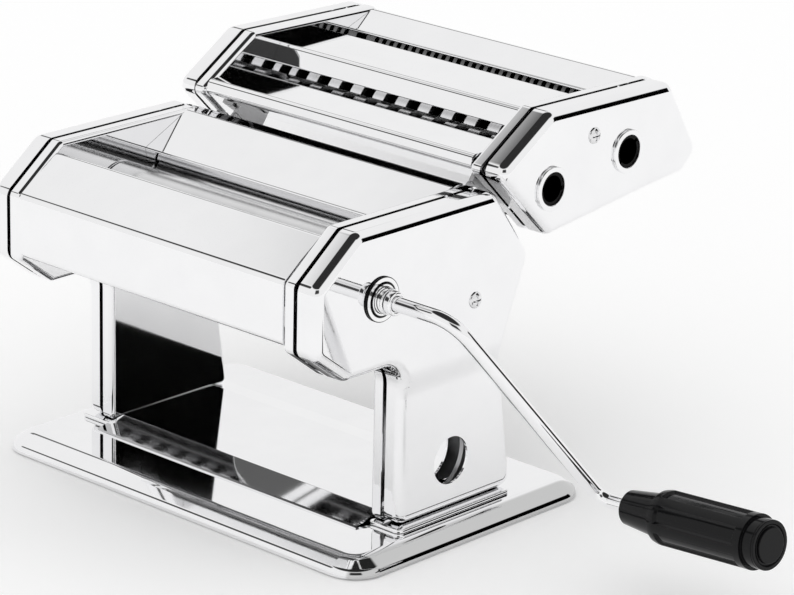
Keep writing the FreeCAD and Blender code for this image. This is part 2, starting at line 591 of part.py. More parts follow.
def side_plate(name, outline, y, z):
    """The right-hand plate, a little inside the covers' outline, before its holes are cut."""
    sketch = doc.addObject("Sketcher::SketchObject", name + "_outline")
    draw(sketch, outline)
    inset = doc.addObject("Part::Offset2D", name + "_inset")
    inset.Source = sketch
    inset.Fill = False
    bind(inset, {"Value": "0 - seam_inset"})
    plate = doc.addObject("Part::Extrusion", name)
    plate.Base = inset
    plate.DirMode = "Custom"
    plate.Dir = (0, 0, 1)
    plate.Solid = True
    plate.Placement = FreeCAD.Placement(FreeCAD.Vector(), ACROSS)
    bind(plate, {"LengthFwd": "plate_out - plate_in"})
    return place(plate, "plate_in", y, z)


def through(name, radius, y, z, side=1):
    """A drill through one whole side, right or left."""
    start = "inner_face - drill_past" if side > 0 else "0 - cheek_out - drill_past"
    return cylinder(name, radius, "cheek_out - inner_face + 2 * drill_past", start, y, z)


def window(name, y0, y1, z0, z1, side=1):
    if side > 0:
        return block(name, "inner_face - drill_past", "cheek_out + drill_past", y0, y1, z0, z1)
    return block(name, "0 - cheek_out - drill_past", "0 - inner_face + drill_past", y0, y1, z0, z1)


plate_blank = side_plate("side_plate", side_outline, "0", "0")

flange = block("leg_flange", "flange_in", "flange_out", "flange_front", "flange_back",
               "base_top", "base_top + flange_thick")
flange_web = block("leg_web", "plate_in", "plate_out", "leg_front_y + seam_inset",
                   "flange_back", "base_top", "cover_foot_z + seam_inset + 2 * foot_round")
frame_blank = joined("side_frame_blank", [plate_blank, flange, flange_web])

TIE_RODS = [("rod1_y", "rod1_z"), ("rod2_y", "rod2_z"), ("rod3_y", "rod3_z"), ("rod4_y", "rod4_z")]
rear_y = "rear_axis_y"
window_front = "rear_axis_y - block_y - gap_travel - window_gap"
window_back = "rear_axis_y + block_y + window_gap"
rod_y = "rear_axis_y + rod_offset"


def frame_cuts(side, tag):
    """Holes of one structural plate."""
    cuts = [through(f"{tag}_rod_{i}", "tie_neck + seat_gap", y, z, side)
            for i, (y, z) in enumerate(TIE_RODS)]
    cuts.append(through(f"{tag}_front_bush", "bush_radius + seat_gap", "front_axis_y", "axis_z", side))
    cuts.append(window(f"{tag}_block_window", window_front, window_back,
                       "axis_z - block_z - slide_gap", "axis_z + block_z + slide_gap", side))
    spread = [("base_screw_x", "base_screw_y"), ("base_screw_x", "0 - base_screw_y")]
    for i, (x, y) in enumerate(spread):
        x = x if side > 0 else negative(x)
        cuts.append(cylinder(f"{tag}_foot_hole_{i}", "screw_shank + screw_gap", "2 * flange_thick",
                             x, y, "base_top - tool_past", True))
    return cuts


right_cuts = frame_cuts(1, "right_frame")
right_cuts.append(through("right_drive_bush", "bush_radius + seat_gap", "crank_axis_y", "axis_z"))
right_cuts.append(through("right_clamp_hole", "clamp_radius", "clamp_y", "clamp_z"))
right_cuts.append(through("right_screw_hole", "screw_shank + screw_gap", "cover_screw_y", "cover_screw_z"))
keep("side_frame_right", cut_from("frame_right_cut", frame_blank, right_cuts))
left_cuts = frame_cuts(-1, "left_frame")
left_cuts.append(window("left_rod_window", f"{rod_y} - rod_radius - gap_travel - window_gap",
                        f"{rod_y} + rod_radius + window_gap", "axis_z - rod_radius - window_gap",
                        "axis_z + rod_radius + window_gap", -1))
left_cuts.append(through("left_screw_hole", "screw_shank + screw_gap", "left_screw_y", "left_screw_z", -1))
keep("side_frame_left", cut_from("frame_left_cut", mirrored("frame_blank_left", frame_blank),
                                 left_cuts))


def inner_cuts(side, tag):
    """Holes of one inner cover: the roller journals and the tie rods pass through it."""
    cuts = [through(f"{tag}_rod_{i}", "tie_radius + slide_gap", y, z, side)
            for i, (y, z) in enumerate(TIE_RODS)]
    cuts.append(through(f"{tag}_journal", "web_hole", "front_axis_y", "axis_z", side))
    cuts.append(window(f"{tag}_journal_slot", "rear_axis_y - web_hole - gap_travel",
                       "rear_axis_y + web_hole", "axis_z - web_hole", "axis_z + web_hole", side))
    cuts.append(window(f"{tag}_rod_slot", f"{rod_y} - rod_radius - gap_travel - window_gap",
                       f"{rod_y} + rod_radius + window_gap", "axis_z - rod_radius - window_gap",
                       "axis_z + rod_radius + window_gap", side))
    return cuts


right_inner_cuts = inner_cuts(1, "right_inner")
right_inner_cuts.append(through("right_inner_clamp", "clamp_inner_radius", "clamp_y", "clamp_z"))

BODY = (side_outline, "0", "0")
keep("inner_cover_right", cut_from("inner_right_cut", side_cover("inner_right", *BODY, 1, False),
                                   right_inner_cuts))
keep("inner_cover_left", cut_from("inner_left_cut", side_cover("inner_left", *BODY, -1, False),
                                  inner_cuts(-1, "left_inner")))
keep("cheek_cover_right", cut_from("cheek_right_cut", side_cover("cheek_right", *BODY, 1, True), [
    through("cheek_crank_hole", "boss_spigot + seat_gap", "crank_axis_y", "axis_z"),
    through("cheek_clamp_hole", "clamp_radius", "clamp_y", "clamp_z"),
    through("cheek_screw_hole", "screw_shank + screw_gap", "cover_screw_y", "cover_screw_z"),
]))
keep("cheek_cover_left", cut_from("cheek_left_cut", side_cover("cheek_left", *BODY, -1, True), [
    through("cheek_dial_hole", "cam_shaft + cheek_bore_gap", rear_y, "axis_z", -1),
    through("cheek_left_screw_hole", "screw_shank + screw_gap", "left_screw_y", "left_screw_z", -1),
]))


# Cross-head screws that hold the outer covers

def cover_screw(name, y, z, side=1):
    """A low-headed screw along X with a cross cut in its head."""
    if side > 0:
        spans = ["plate_in", "cheek_out", "cheek_out + cover_screw_dome"]
        face = "cheek_out + cover_screw_dome"
        slot_x = (f"{face} - slot_depth", f"{face} + tool_past")
        stations = [(spans[0], spans[1], "screw_shank"), (spans[1], spans[2], "cover_screw_head")]
    else:
        face = "0 - cheek_out - cover_screw_dome"
        slot_x = (f"{face} - tool_past", f"{face} + slot_depth")
        stations = [(face, "0 - cheek_out", "cover_screw_head"),
                    ("0 - cheek_out", "0 - plate_in", "screw_shank")]
    screw = turned(name + "_turned", stations, y, z)
    flat = block(name + "_slot_y", *slot_x, f"{y} - slot_length / 2", f"{y} + slot_length / 2",
                 f"{z} - slot_width / 2", f"{z} + slot_width / 2")
    upright = block(name + "_slot_z", *slot_x, f"{y} - slot_width / 2", f"{y} + slot_width / 2",
                    f"{z} - slot_length / 2", f"{z} + slot_length / 2")
    return cut_from(name, screw, [flat, upright])


keep("cover_screws", grouped("cover_screw_group", [
    cover_screw("cover_screw_right", "cover_screw_y", "cover_screw_z"),
    cover_screw("cover_screw_left", "left_screw_y", "left_screw_z", -1),
]))


# Tie rods: shouldered between the plates and riveted outside them

def tie_rod(name, y, z, radius, neck, rivet):
    end = "( plate_out + seat_gap )"
    return turned(name, [
        (f"0 - {end} - rivet_thick", f"0 - {end}", rivet),
        (f"0 - {end}", "0 - plate_in + seat_gap", neck),
        ("0 - plate_in + seat_gap", "plate_in - seat_gap", radius),
        ("plate_in - seat_gap", end, neck),
        (end, f"{end} + rivet_thick", rivet),
    ], y, z)


keep("tie_rods", grouped("tie_rod_group", [
    tie_rod(f"tie_rod_{i}", y, z, "tie_radius", "tie_neck", "tie_rivet")
    for i, (y, z) in enumerate(TIE_RODS)
]))


# Flanged bushes in the plates

def bush(name, y, z, flange_radius, radius, start, end, side=1):
    stations = [(start, "plate_in - seat_gap", flange_radius), ("plate_in - seat_gap", end, radius)]
    if side < 0:
        stations = [(negative(b), negative(a), r) for a, b, r in stations[::-1]]
    return turned(name, stations, y, z, "journal + running")


keep("roller_bushes", grouped("bush_group", [
    bush(name, y, "axis_z", "bush_flange", "bush_radius", "bush_in", "bush_out", side)
    for name, y, side in (("front_bush_right", "front_axis_y", 1), ("front_bush_left", "front_axis_y", -1),
                          ("drive_bush", "crank_axis_y", 1))
]))


# Rollers

def roller(name, y, right_end):
    return turned(name, [
        ("0 - shaft_end", "0 - roller_half", "journal"), ("0 - roller_half", "roller_half", "roller_radius"),
        ("roller_half", right_end, "journal"),
    ], y, "axis_z")


keep("front_roller", roller("front_roller_body", "front_axis_y", "shaft_end"))
keep("rear_roller", roller("rear_roller_body", "rear_axis_y", "bush_out + journal_past"))
drive_pitch = "( front_axis_y - crank_axis_y ) / ( gear_teeth + pinion_teeth )"
gear_pitch = f"{drive_pitch} * gear_teeth"
pinion_pitch = f"{drive_pitch} * pinion_teeth"
keep("roller_gear", gear("roller_gear_body", "gear_teeth", gear_pitch, f"{gear_pitch} + addendum",
                         f"{gear_pitch} - dedendum", "backlash", "flank", "gear_in", "gear_width",
                         "front_axis_y", "axis_z", behind=True))
keep("drive_pinion", gear("drive_pinion_body", "pinion_teeth", pinion_pitch, f"{pinion_pitch} + addendum",
                          f"{pinion_pitch} - dedendum", "backlash", "flank", "gear_in", "gear_width",
                          "crank_axis_y", "axis_z"))
for word, y, behind in (("front", "front_axis_y", False), ("rear", "rear_axis_y", True)):
    keep(f"pair_gear_{word}", gear(f"pair_gear_{word}_body", "pair_teeth", "pair_pitch", "pair_outer",
                                   "pair_root", "pair_backlash", "pair_flank", "0 - gear_in - gear_width",
                                   "gear_width", y, "axis_z", behind))


# Sliding blocks that carry the rear roller, tied together by a rod

def bearing_block(name, side):
    """A block in the plate's window, with a keeper plate and an arm to the rod."""
    ends = [("block_in", "block_step"), ("block_step - block_lap", "block_out")]
    if side < 0:
        ends = [(negative(b), negative(a)) for a, b in ends]
    keeper = block(name + "_keeper", *ends[0], f"{rear_y} - block_y", f"{rear_y} + block_y",
                   "axis_z - block_flange_z", "axis_z + block_flange_z")
    core = block(name + "_core", *ends[1], f"{rear_y} - block_y", f"{rear_y} + block_y",
                 "axis_z - block_z", "axis_z + block_z")
    arm = block(name + "_arm", *ends[0], f"{rear_y}", f"{rod_y} + arm_end",
                "axis_z - arm_z", "axis_z + arm_z")
    solid = joined(name + "_solid", [keeper, core, arm])
    return cut_from(name, solid, [
        through(name + "_bore", "journal + running", rear_y, "axis_z", side),
        through(name + "_rod_bore", "rod_radius + running", rod_y, "axis_z", side),
    ])


keep("bearing_blocks", grouped("block_group", [
    bearing_block("block_right", 1), bearing_block("block_left", -1)]))
keep("carriage_rod", turned("carriage_rod_body", [("0 - rod_end", "block_step", "rod_radius")],
                            rod_y, "axis_z"))


# Stripper blades under the rollers, from side cover to side cover

def scraper(name, y, side):
    """A thin blade that stands on a radius of its roller, just clear of it, on its outer side."""
    blade = doc.addObject("Part::Box", name)
    lean(blade, (1, 0, 0), "0 - scraper_angle" if side > 0 else "scraper_angle - 180")
    bind(blade, {"Length": "2 * panel_end", "Width": "scraper_wide", "Height": "scraper_thick"})
    reach = "( roller_radius + scraper_gap )"
    return place(blade, "0 - panel_end", f"{y} + {side} * {reach} * cos( scraper_angle * 1 deg )",
                 f"axis_z - {reach} * sin( scraper_angle * 1 deg )")


keep("scrapers", grouped("scraper_group", [
    scraper("front_scraper", "front_axis_y", -1), scraper("rear_scraper", "rear_axis_y", 1),
]))


# Drive shaft: a socket cup with two notches that the crank plugs into

def notched(name, cup, mouth, y, z, tilt):
    """Cut the two notches of a socket across its mouth."""
    slot = lean(doc.addObject("Part::Box", name + "_slot"), (1, 0, 0), tilt)
    across = "( socket_radius + notch_depth )"
    bind(slot, {"Length": f"{mouth[1]} - {mouth[0]}", "Width": f"2 * {across}", "Height": "notch_width"})
    up, along = f"sin( {tilt} * 1 deg )", f"cos( {tilt} * 1 deg )"
    place(slot, mouth[0], f"{y} - {across} * {along} + notch_width / 2 * {up}",
          f"{z} - {across} * {up} - notch_width / 2 * {along}")
    hollow = cylinder(name + "_hollow", "socket_radius", f"{mouth[1]} - {mouth[0]}", mouth[0], y, z)
    return cut_from(name, cup, [slot, hollow])


shaft = turned("crank_shaft", [("shaft_in", "cup_in", "journal"), ("cup_in", "cup_out", "cup_radius")],
               "crank_axis_y", "axis_z")
keep("crank_socket", notched("crank_cup", shaft, ("cup_floor", "cup_out + tool_past"),
                            "crank_axis_y", "axis_z", "crank_angle"))
keep("crank_boss", turned("crank_boss_body", [
    ("cheek_out - cover_wall", "cheek_out", "boss_spigot"), ("cheek_out", "boss_out", "boss_radius"),
], "crank_axis_y", "axis_z", "cup_radius + running"))


# Crank: one bent rod with an eared plug, in a plane through the socket's axis

def crank_part(name, thing):
    lean(thing, (1, 0, 0), "crank_angle")
    place(thing, "0", "crank_axis_y", "axis_z")
    return keep(name, thing)


rod_body = doc.addObject("PartDesign::Body", "crank_rod_body")
rod_path = body_sketch(rod_body, "crank_path", "XZ_Plane")
draw(rod_path, [("cup_floor + rod_in_plug", "0", "0"), ("elbow_x", "0", "elbow_round"),
                ("drop_x", "0 - drop", "drop_round"), ("rod_tip_x", "0 - rod_tip_drop", "0")], closed=False)
rod_section = body_sketch(rod_body, "crank_section", "YZ_Plane", "cup_floor + rod_in_plug")
draw_circle(rod_section, "crank_rod")
doc.recompute()
rod_pipe = rod_body.newObject("PartDesign::AdditivePipe", "crank_pipe")
rod_pipe.Profile = rod_section
rod_pipe.Spine = (rod_path, [f"Edge{i}" for i in range(1, 6)])
rod_pipe.Transition = "Right corner"
doc.recompute()
plug = cylinder("crank_plug", "plug_radius", "plug_out - cup_floor - window_gap",
                "cup_floor + window_gap", "0", "0")
ears = block("crank_ears", "cup_floor + window_gap", "cup_out", "0 - plug_radius - ear_depth",
             "plug_radius + ear_depth", "0 - ear_width / 2", "ear_width / 2")
crank_part("crank_arm", joined("crank_rod_and_plug", [rod_body, plug, ears]))
crank_part("crank_collar", grouped("crank_collar_group", [
    turned("crank_collar_body", [("collar_in", "collar_out", "collar_radius")],
           bore="crank_rod + seat_gap")]))


# Grip: a moulded sleeve free to turn on the rod, with a pressed-in end cap

grip_slope = "atan( ( drop - rod_tip_drop ) / ( rod_tip_x - drop_x ) ) / 1 deg"


def grip_part(name, stations, bore):
    """A piece turned about the rod's tip, placed from the lower bend of the crank."""
    spun = lean(turned(name + "_body", stations, bore=bore), (0, -1, 0), grip_slope)
    place(spun, "drop_x", "0", "0 - drop")
    return crank_part(name, grouped(name + "_group", [spun]))


washer_out = "grip_start - washer_gap"
grip_part("grip_washer", [(f"{washer_out} - washer_thick", washer_out, "washer_radius")],
          "crank_rod + seat_gap")
grip_end = "grip_start + grip_length"
grip_sleeve = [
    ("grip_start", "grip_start + shoulder_at", "grip_neck", "grip_shoulder"),
    ("grip_start + shoulder_at", "grip_start + belly_end", "grip_belly"),
    ("grip_start + belly_end", f"{grip_end} - cap_thick", "grip_tail"),
]
grip_part("grip", grip_sleeve, "crank_rod + running")
grip_part("grip_cap", [(f"{grip_end} - cap_thick", f"{grip_end} - cap_recess", "grip_tail"),
                       (f"{grip_end} - cap_recess", grip_end, "cap_disc")], "0")


# Thickness dial: a scroll cam on the left that draws the sliding blocks forward

cam_blank = turned("cam_blank", [
    ("0 - cam_tip", "0 - cam_collar_at", "cam_collar"), ("0 - cam_collar_at", "0 - cam_neck_at", "cam_neck"),
    ("0 - cam_neck_at", "0 - cam_out", "cam_shaft"), ("0 - cam_out", "0 - cam_in", "cam_radius"),
], rear_y, "axis_z")


def scroll_groove():
    """A slot whose radius falls evenly over the dial's turn, as arcs through three points."""
    steps = 6
    turn = math.radians(value("cam_turn"))
    start = value("rod_offset")
    fall = value("gap_travel")

    def spot(share):
        radius = start - fall * share
        angle = -turn * share
        return FreeCAD.Vector(0, radius * math.cos(angle), radius * math.sin(angle))

    arcs = [Part.Arc(spot(i / steps), spot((i + 0.5) / steps), spot((i + 1) / steps)).toShape()
            for i in range(steps)]
    half = value("rod_radius + groove_gap")
    outline = Part.Wire(arcs).makeOffset2D(half, 0, True, False, False)
    return outline.extrude(FreeCAD.Vector(value("cam_out - cam_in + 2 * tool_past"), 0, 0))


groove = doc.addObject("Part::Feature", "scroll_groove")
groove.Shape = scroll_groove()
place(groove, "0 - cam_out - tool_past", rear_y, "axis_z")
keep("dial_cam", cut_from("cam_cut", cam_blank, [groove]))
keep("dial_plate", turned("dial_plate_body", [
    ("0 - cheek_out - dial_scale_thick", "0 - cheek_out", "dial_scale_radius"),
], rear_y, "axis_z", "cam_shaft + window_gap"))
knob_blank = turned("knob_blank", [("0 - knob_out", "0 - knob_in", "knob_radius")], rear_y, "axis_z")
knob_front = cylinder("knob_front_bore", "cam_shaft + running", "knob_shoulder_in - knob_in",
                      "0 - knob_shoulder_in", rear_y, "axis_z")
knob_neck = cylinder("knob_neck_bore", "cam_neck + running",
                     "knob_shoulder_out - knob_shoulder_in + 2 * knob_lap",
                     "0 - knob_shoulder_out - knob_lap", rear_y, "axis_z")
knob_hollow = cylinder("knob_cavity_bore", "knob_cavity", "knob_cap - knob_shoulder_out", "0 - knob_cap",
                       rear_y, "axis_z")
keep("dial_knob", cut_from("knob_cut", knob_blank, [knob_front, knob_neck, knob_hollow]))

spring_path = doc.addObject("Part::Helix", "dial_spring_path")
spring_long = "( cam_collar_at - knob_shoulder_out - 2 * spring_wire - 2 * slide_gap )"
bind(spring_path, {"Radius": "spring_radius", "Height": spring_long,
                   "Pitch": f"{spring_long} / spring_turns"})
doc.recompute()
spring_section = doc.addObject("Sketcher::SketchObject", "dial_spring_section")
draw(spring_section, [(f"spring_radius {across} spring_wire", f"0 {up} spring_wire", "0")
                      for across, up in (("-", "-"), ("+", "-"), ("+", "+"), ("-", "+"))])
spring_section.Placement = FreeCAD.Placement(FreeCAD.Vector(), FreeCAD.Rotation(FreeCAD.Vector(1, 0, 0), 90))
spring_sweep = doc.addObject("Part::Sweep", "dial_spring_sweep")
spring_sweep.Sections = [spring_section]
spring_sweep.Spine = (spring_path, ["Edge1"])
spring_sweep.Solid = True
spring_sweep.Frenet = True
spring_sweep.Placement = FreeCAD.Placement(FreeCAD.Vector(), FreeCAD.Rotation(FreeCAD.Vector(0, 1, 0), 90))
place(spring_sweep, "0 - cam_collar_at + spring_wire + slide_gap", rear_y, "axis_z")
keep("dial_spring", spring_sweep)


# Guides on the rear slant, and the tongues of the cutter head that drop into them

slant = "atan( ( nape_y - crown_y ) / ( crown_z - nape_z ) ) / 1 deg"


def on_slant(thing):
    """Turn a piece so that its Z runs up the slant and its Y stands out of it."""
    return place(lean(thing, (1, 0, 0), slant), "0", "crown_y", "crown_z")


def slant_pair(name, pieces):
    right = on_slant(joined(name + "_right", pieces))
    return grouped(name + "_pair", [right, mirrored(name + "_left", right)])


keep("head_guides", slant_pair("guide", [
    block("guide_rail", "guide_web", "guide_out", "guide_seat", "guide_lip_high", "guide_low", "guide_high"),
    block("guide_lip", "guide_in", "guide_out", "guide_lip_low", "guide_lip_high", "guide_low", "guide_high"),
    block("guide_end", "guide_in", "guide_out", "guide_seat", "guide_lip_high",
          "guide_low", "guide_low + guide_stop"),
]))
tongue_low = "guide_low + guide_stop + tongue_rest"
tongue_leg = doc.addObject("PartDesign::Body", "tongue_leg_body")
leg_sketch = body_sketch(tongue_leg, "tongue_leg_outline", "YZ_Plane", "guide_in - tongue_rest - tongue_leg")
draw(leg_sketch, [("tongue_gap", tongue_low, "0"), ("tongue_root_low", tongue_low, "0"),
                  ("tongue_root_high", "tongue_high", "0"), ("tongue_gap", "tongue_high", "0")])
pad(tongue_leg, leg_sketch, "tongue_leg")
keep("head_tongues", slant_pair("tongue", [
    tongue_leg,
    block("tongue_foot", "guide_in - tongue_rest - tongue_leg", "guide_web - tongue_rest", "tongue_gap",
          "tongue_gap + tongue_thick", tongue_low, "tongue_high"),
]))


# Cutter head: the same side build-up, measured from the crown corner

def head_y(expression):
    return f"crown_y + {expression}"


def head_z(expression):
    return f"crown_z + {expression}"


cutter_outline = [
    ("nose_y", "nose_z", "nose_round"), ("keel_y", "keel_z", "keel_round"),
    ("belly_y", "belly_z", "corner_round"), ("sole_y", "sole_z", "corner_round"),
    ("heel_y", "heel_z", "corner_round"), ("tail_y", "tail_z", "corner_round"),
    ("bevel_y", "bevel_z", "corner_round"),
]
cutter_plate = side_plate("cutter_plate", cutter_outline, "crown_y", "crown_z")

wide_driven = (head_y("wide_y"), head_z("wide_z"))
wide_idle = (head_y("wide_y + wide_spacing"), head_z("wide_z"))
narrow_driven = (head_y("narrow_y"), head_z("narrow_z"))
narrow_idle = (head_y("narrow_y + narrow_spacing"), head_z("narrow_z"))
CUTTER_AXES = [wide_driven, wide_idle, narrow_driven, narrow_idle]
HEAD_RODS = [(head_y(f"head_rod{i}_y"), head_z(f"head_rod{i}_z")) for i in (1, 2, 3)]
screw_spot = (head_y("cutter_screw_y"), head_z("cutter_screw_z"))


def cutter_side(side, word):
    tag = "cutter_" + word
    plate = cutter_plate if side > 0 else mirrored(tag + "_plate", cutter_plate)
    head = (cutter_outline, "crown_y", "crown_z")
    inner = side_cover(tag + "_inner_blank", *head, side, False)
    outer = side_cover(tag + "_outer_blank", *head, side, True)
    plate_cuts = [through(f"{tag}_bush_{i}", "cutter_bush + seat_gap", y, z, side)
                  for i, (y, z) in enumerate(CUTTER_AXES)]
    plate_cuts += [through(f"{tag}_neck_{i}", "head_rod_neck + seat_gap", y, z, side)
                   for i, (y, z) in enumerate(HEAD_RODS)]
    plate_cuts.append(through(tag + "_screw", "screw_shank + screw_gap", *screw_spot, side))
    keep("cutter_frame_" + word, cut_from(tag + "_frame_cut", plate, plate_cuts))
    inner_holes = [through(f"{tag}_journal_{i}", "cutter_web_hole", y, z, side)
                   for i, (y, z) in enumerate(CUTTER_AXES)]
    inner_holes += [through(f"{tag}_rod_{i}", "head_rod + slide_gap", y, z, side)
                    for i, (y, z) in enumerate(HEAD_RODS)]
    keep("cutter_inner_cover_" + word, cut_from(tag + "_inner_cut", inner, inner_holes))
    outer_holes = [through(tag + "_cheek_screw", "screw_shank + screw_gap", *screw_spot, side)]
    if side > 0:
        outer_holes += [through(f"{tag}_socket_{i}", "ring_spigot + seat_gap", *spot)
                        for i, spot in enumerate((wide_driven, narrow_driven))]
    keep("cutter_cheek_" + word, cut_from(tag + "_cheek_cut", outer, outer_holes))


cutter_side(1, "right")
cutter_side(-1, "left")
keep("cutter_screws", grouped("cutter_screw_group", [
    cover_screw("cutter_screw_right", *screw_spot), cover_screw("cutter_screw_left", *screw_spot, -1)]))
keep("cutter_tie_rods", grouped("cutter_rod_group", [
    tie_rod(f"cutter_rod_{i}", y, z, "head_rod", "head_rod_neck", "head_rivet")
    for i, (y, z) in enumerate(HEAD_RODS)]))
keep("cutter_bushes", grouped("cutter_bush_group", [
    bush(f"cutter_bush_{i}_{side + 1}", y, z, "cutter_bush_flange", "cutter_bush", "cutter_bush_in",
         "cutter_bush_out", side)
    for i, (y, z) in enumerate(CUTTER_AXES) for side in (1, -1)]))
keep("socket_rings", grouped("socket_ring_group", [
    turned(f"socket_ring_{i}", [("cheek_out - cover_wall", "cheek_out", "ring_spigot"),
                                ("cheek_out", "ring_out", "ring_radius")], *spot, "cup_radius + running")
    for i, spot in enumerate((wide_driven, narrow_driven))]))

keep("cutter_front_panel", folded_sheet("cutter_front", [
    ("front_wall_y", "front_wall_z", "0"), ("front_edge_y", "front_edge_z", "bend"),
    ("front_top_y", "front_top_z", "bend"), ("slot_front_y", "front_top_z", "tight_bend"),
    ("slot_front_y", "front_top_z - slot_lip", "0"),
], "panel_end", "crown_y", "crown_z"))
keep("cutter_middle_panel", folded_sheet("cutter_middle", [
    ("middle_lip_y", "middle_lip_z", "0"), ("middle_front_y", "middle_front_z", "tight_bend"),
    ("middle_top_y", "middle_top_z", "bend"), ("middle_back_y", "middle_top_z", "tight_bend"),
    ("middle_back_y", "middle_top_z - middle_back_lip", "0"),
], "panel_end", "crown_y", "crown_z"))
keep("cutter_rear_panel", folded_sheet("cutter_rear", [
    ("rear_lip_y", "rear_lip_z", "0"), ("rear_front_y", "rear_front_z", "tight_bend"),
    ("rear_rise_y", "rear_top_z", "0"), ("rear_edge_y", "rear_top_z", "0"),
    ("rear_wall_y", "rear_wall_z", "bend"), ("rear_foot_y", "rear_foot_z", "0"),
], "panel_end", "crown_y", "crown_z"))


def stripper(name, spot, radius, shift, side):
    """A fixed strip that hangs just under a cutter roller, beside the outlet."""
    y, z = spot
    edge = f"{y} + {side} * {shift}"
    top = f"{z} - sqrt( ( {radius} + strip_gap ) ^ 2 - {shift} ^ 2 )"
    inner, outer = (edge, f"{edge} + strip_thick")
    if side < 0:
        inner, outer = (f"{edge} - strip_thick", edge)
    return block(name, "0 - panel_end", "panel_end", inner, outer, f"{top} - strip_tall", top)


keep("cutter_strippers", grouped("stripper_group", [
    stripper("wide_strip_front", wide_driven, "wide_radius", "wide_strip_y", -1),
    stripper("wide_strip_back", wide_idle, "wide_radius", "wide_strip_y", 1),
    stripper("narrow_strip_front", narrow_driven, "narrow_radius", "narrow_strip_y", -1),
    stripper("narrow_strip_back", narrow_idle, "narrow_radius", "narrow_strip_y", 1),
]))


# Cutter rollers: ringed rollers whose discs pass between each other like shears

def cutter_roller(name, spot, radius, core, period, groove_width, count, half, right):
    """A barrel with evenly spaced ring grooves, count of them about the middle."""
    left_end = "0 - shaft_end"
    core_end = "cutter_half + core_stub"
    body = turned(name, [
        (left_end, negative(core_end), "journal"), (negative(core_end), f"0 - {half}", core),
        (f"0 - {half}", half, radius), (half, core_end, core), (core_end, right[0], "journal"),
    ] + right[1], *spot)
    sketch = body_sketch(body, name + "_groove_section", "XY_Plane")
    first = f"0 - ( {count} - 1 ) * {period} / 2"
    draw(sketch, [(f"{first} - {groove_width} / 2", core, "0"), (f"{first} + {groove_width} / 2", core, "0"),
                  (f"{first} + {groove_width} / 2", f"{radius} + tool_past", "0"),
                  (f"{first} - {groove_width} / 2", f"{radius} + tool_past", "0")])
    doc.recompute()
    ring = body.newObject("PartDesign::Groove", name + "_groove")
    ring.Profile = sketch
    ring.ReferenceAxis = (sketch, ["H_Axis"])
    ring.Angle = 360
    doc.recompute()
    rings = body.newObject("PartDesign::LinearPattern", name + "_rings")
    rings.Originals = [ring]
    rings.Direction = (sketch, ["H_Axis"])
    bind(rings, {"Length": f"( {count} - 1 ) * {period}", "Occurrences": count})
    body.Tip = rings
    return body


cup_stations = [("cutter_cup_in", "cutter_cup_out", "cup_radius")]
cup_mouth = ("cutter_cup_floor", "cutter_cup_out + tool_past")
for word, driven, idle in (("wide", wide_driven, wide_idle), ("narrow", narrow_driven, narrow_idle)):
    radius, core, period = f"{word}_radius", f"{word}_core", f"{word}_period"
    width, count = f"{word}_groove", f"{word}_count"
    driven_body = cutter_roller(f"{word}_driven_turned", driven, radius, core, period, width, count,
                                "cutter_half", ("cutter_cup_in", cup_stations))
    keep(f"{word}_driven_roller", notched(f"{word}_driven_cup", driven_body, cup_mouth, *driven,
                                          f"{word}_notch_angle"))
    idle_half = f"( ( {count} - 1 ) * {period} / 2 + ( {period} - {width} ) / 2 )"
    keep(f"{word}_idle_roller", cutter_roller(f"{word}_idle_turned", idle, radius, core, period, width,
                                              f"( {count} - 1 )", idle_half, ("idle_end", [])))
    pitch = f"{word}_spacing / 2"
    for role, spot in (("driven", driven), ("idle", idle)):
        keep(f"{word}_{role}_gear", gear(f"{word}_{role}_gear_body", "cutter_teeth", pitch,
                                         f"{pitch} + addendum", f"{pitch} - dedendum", "backlash", "flank",
                                         "0 - gear_in - gear_width", "gear_width", *spot,
                                         behind=role == "idle"))

doc.recompute()


# Every object has to be built, whole and valid before anything is written

for thing in doc.Objects:
    if "Invalid" in thing.State or "Error" in thing.State:
        raise ValueError(f"{thing.Name} did not build: {thing.State}")
for label, thing in parts.items():
    if thing.Shape.isNull() or not thing.Shape.isValid():
        raise ValueError(f"{label} has no valid shape")

os.makedirs("parts", exist_ok=True)
for label, thing in parts.items():
    thing.Shape.exportStep(f"parts/{label}.step")
print(len(parts), "parts written")
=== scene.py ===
import bmesh
import bpy
from math import atan2, cos, degrees, pi, radians, sin, tan
from mathutils import Matrix, Quaternion, Vector


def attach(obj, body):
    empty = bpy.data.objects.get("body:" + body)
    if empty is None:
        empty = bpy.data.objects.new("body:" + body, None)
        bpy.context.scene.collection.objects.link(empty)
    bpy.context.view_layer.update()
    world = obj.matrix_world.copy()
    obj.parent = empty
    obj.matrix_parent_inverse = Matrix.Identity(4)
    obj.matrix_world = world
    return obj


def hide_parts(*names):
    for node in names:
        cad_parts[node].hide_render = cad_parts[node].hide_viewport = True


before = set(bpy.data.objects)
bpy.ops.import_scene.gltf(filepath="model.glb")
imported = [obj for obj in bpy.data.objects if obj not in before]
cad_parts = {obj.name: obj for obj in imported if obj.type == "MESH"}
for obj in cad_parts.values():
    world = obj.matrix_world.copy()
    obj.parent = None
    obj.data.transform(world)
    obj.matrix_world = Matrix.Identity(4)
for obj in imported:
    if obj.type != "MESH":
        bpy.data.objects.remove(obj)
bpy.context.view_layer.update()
mm = 0.001


# The camera stands well off to the right of the front, a little above the machine, and looks
# through a long lens. It leans by a degree, as the photograph does.
eye = Vector((1048.1, -1072.9, 588.2)) * mm
aim = Vector((16.5, 45.2, 70)) * mm
lens_length, film_width, camera_lean = 174.4, 36, radians(1.33)

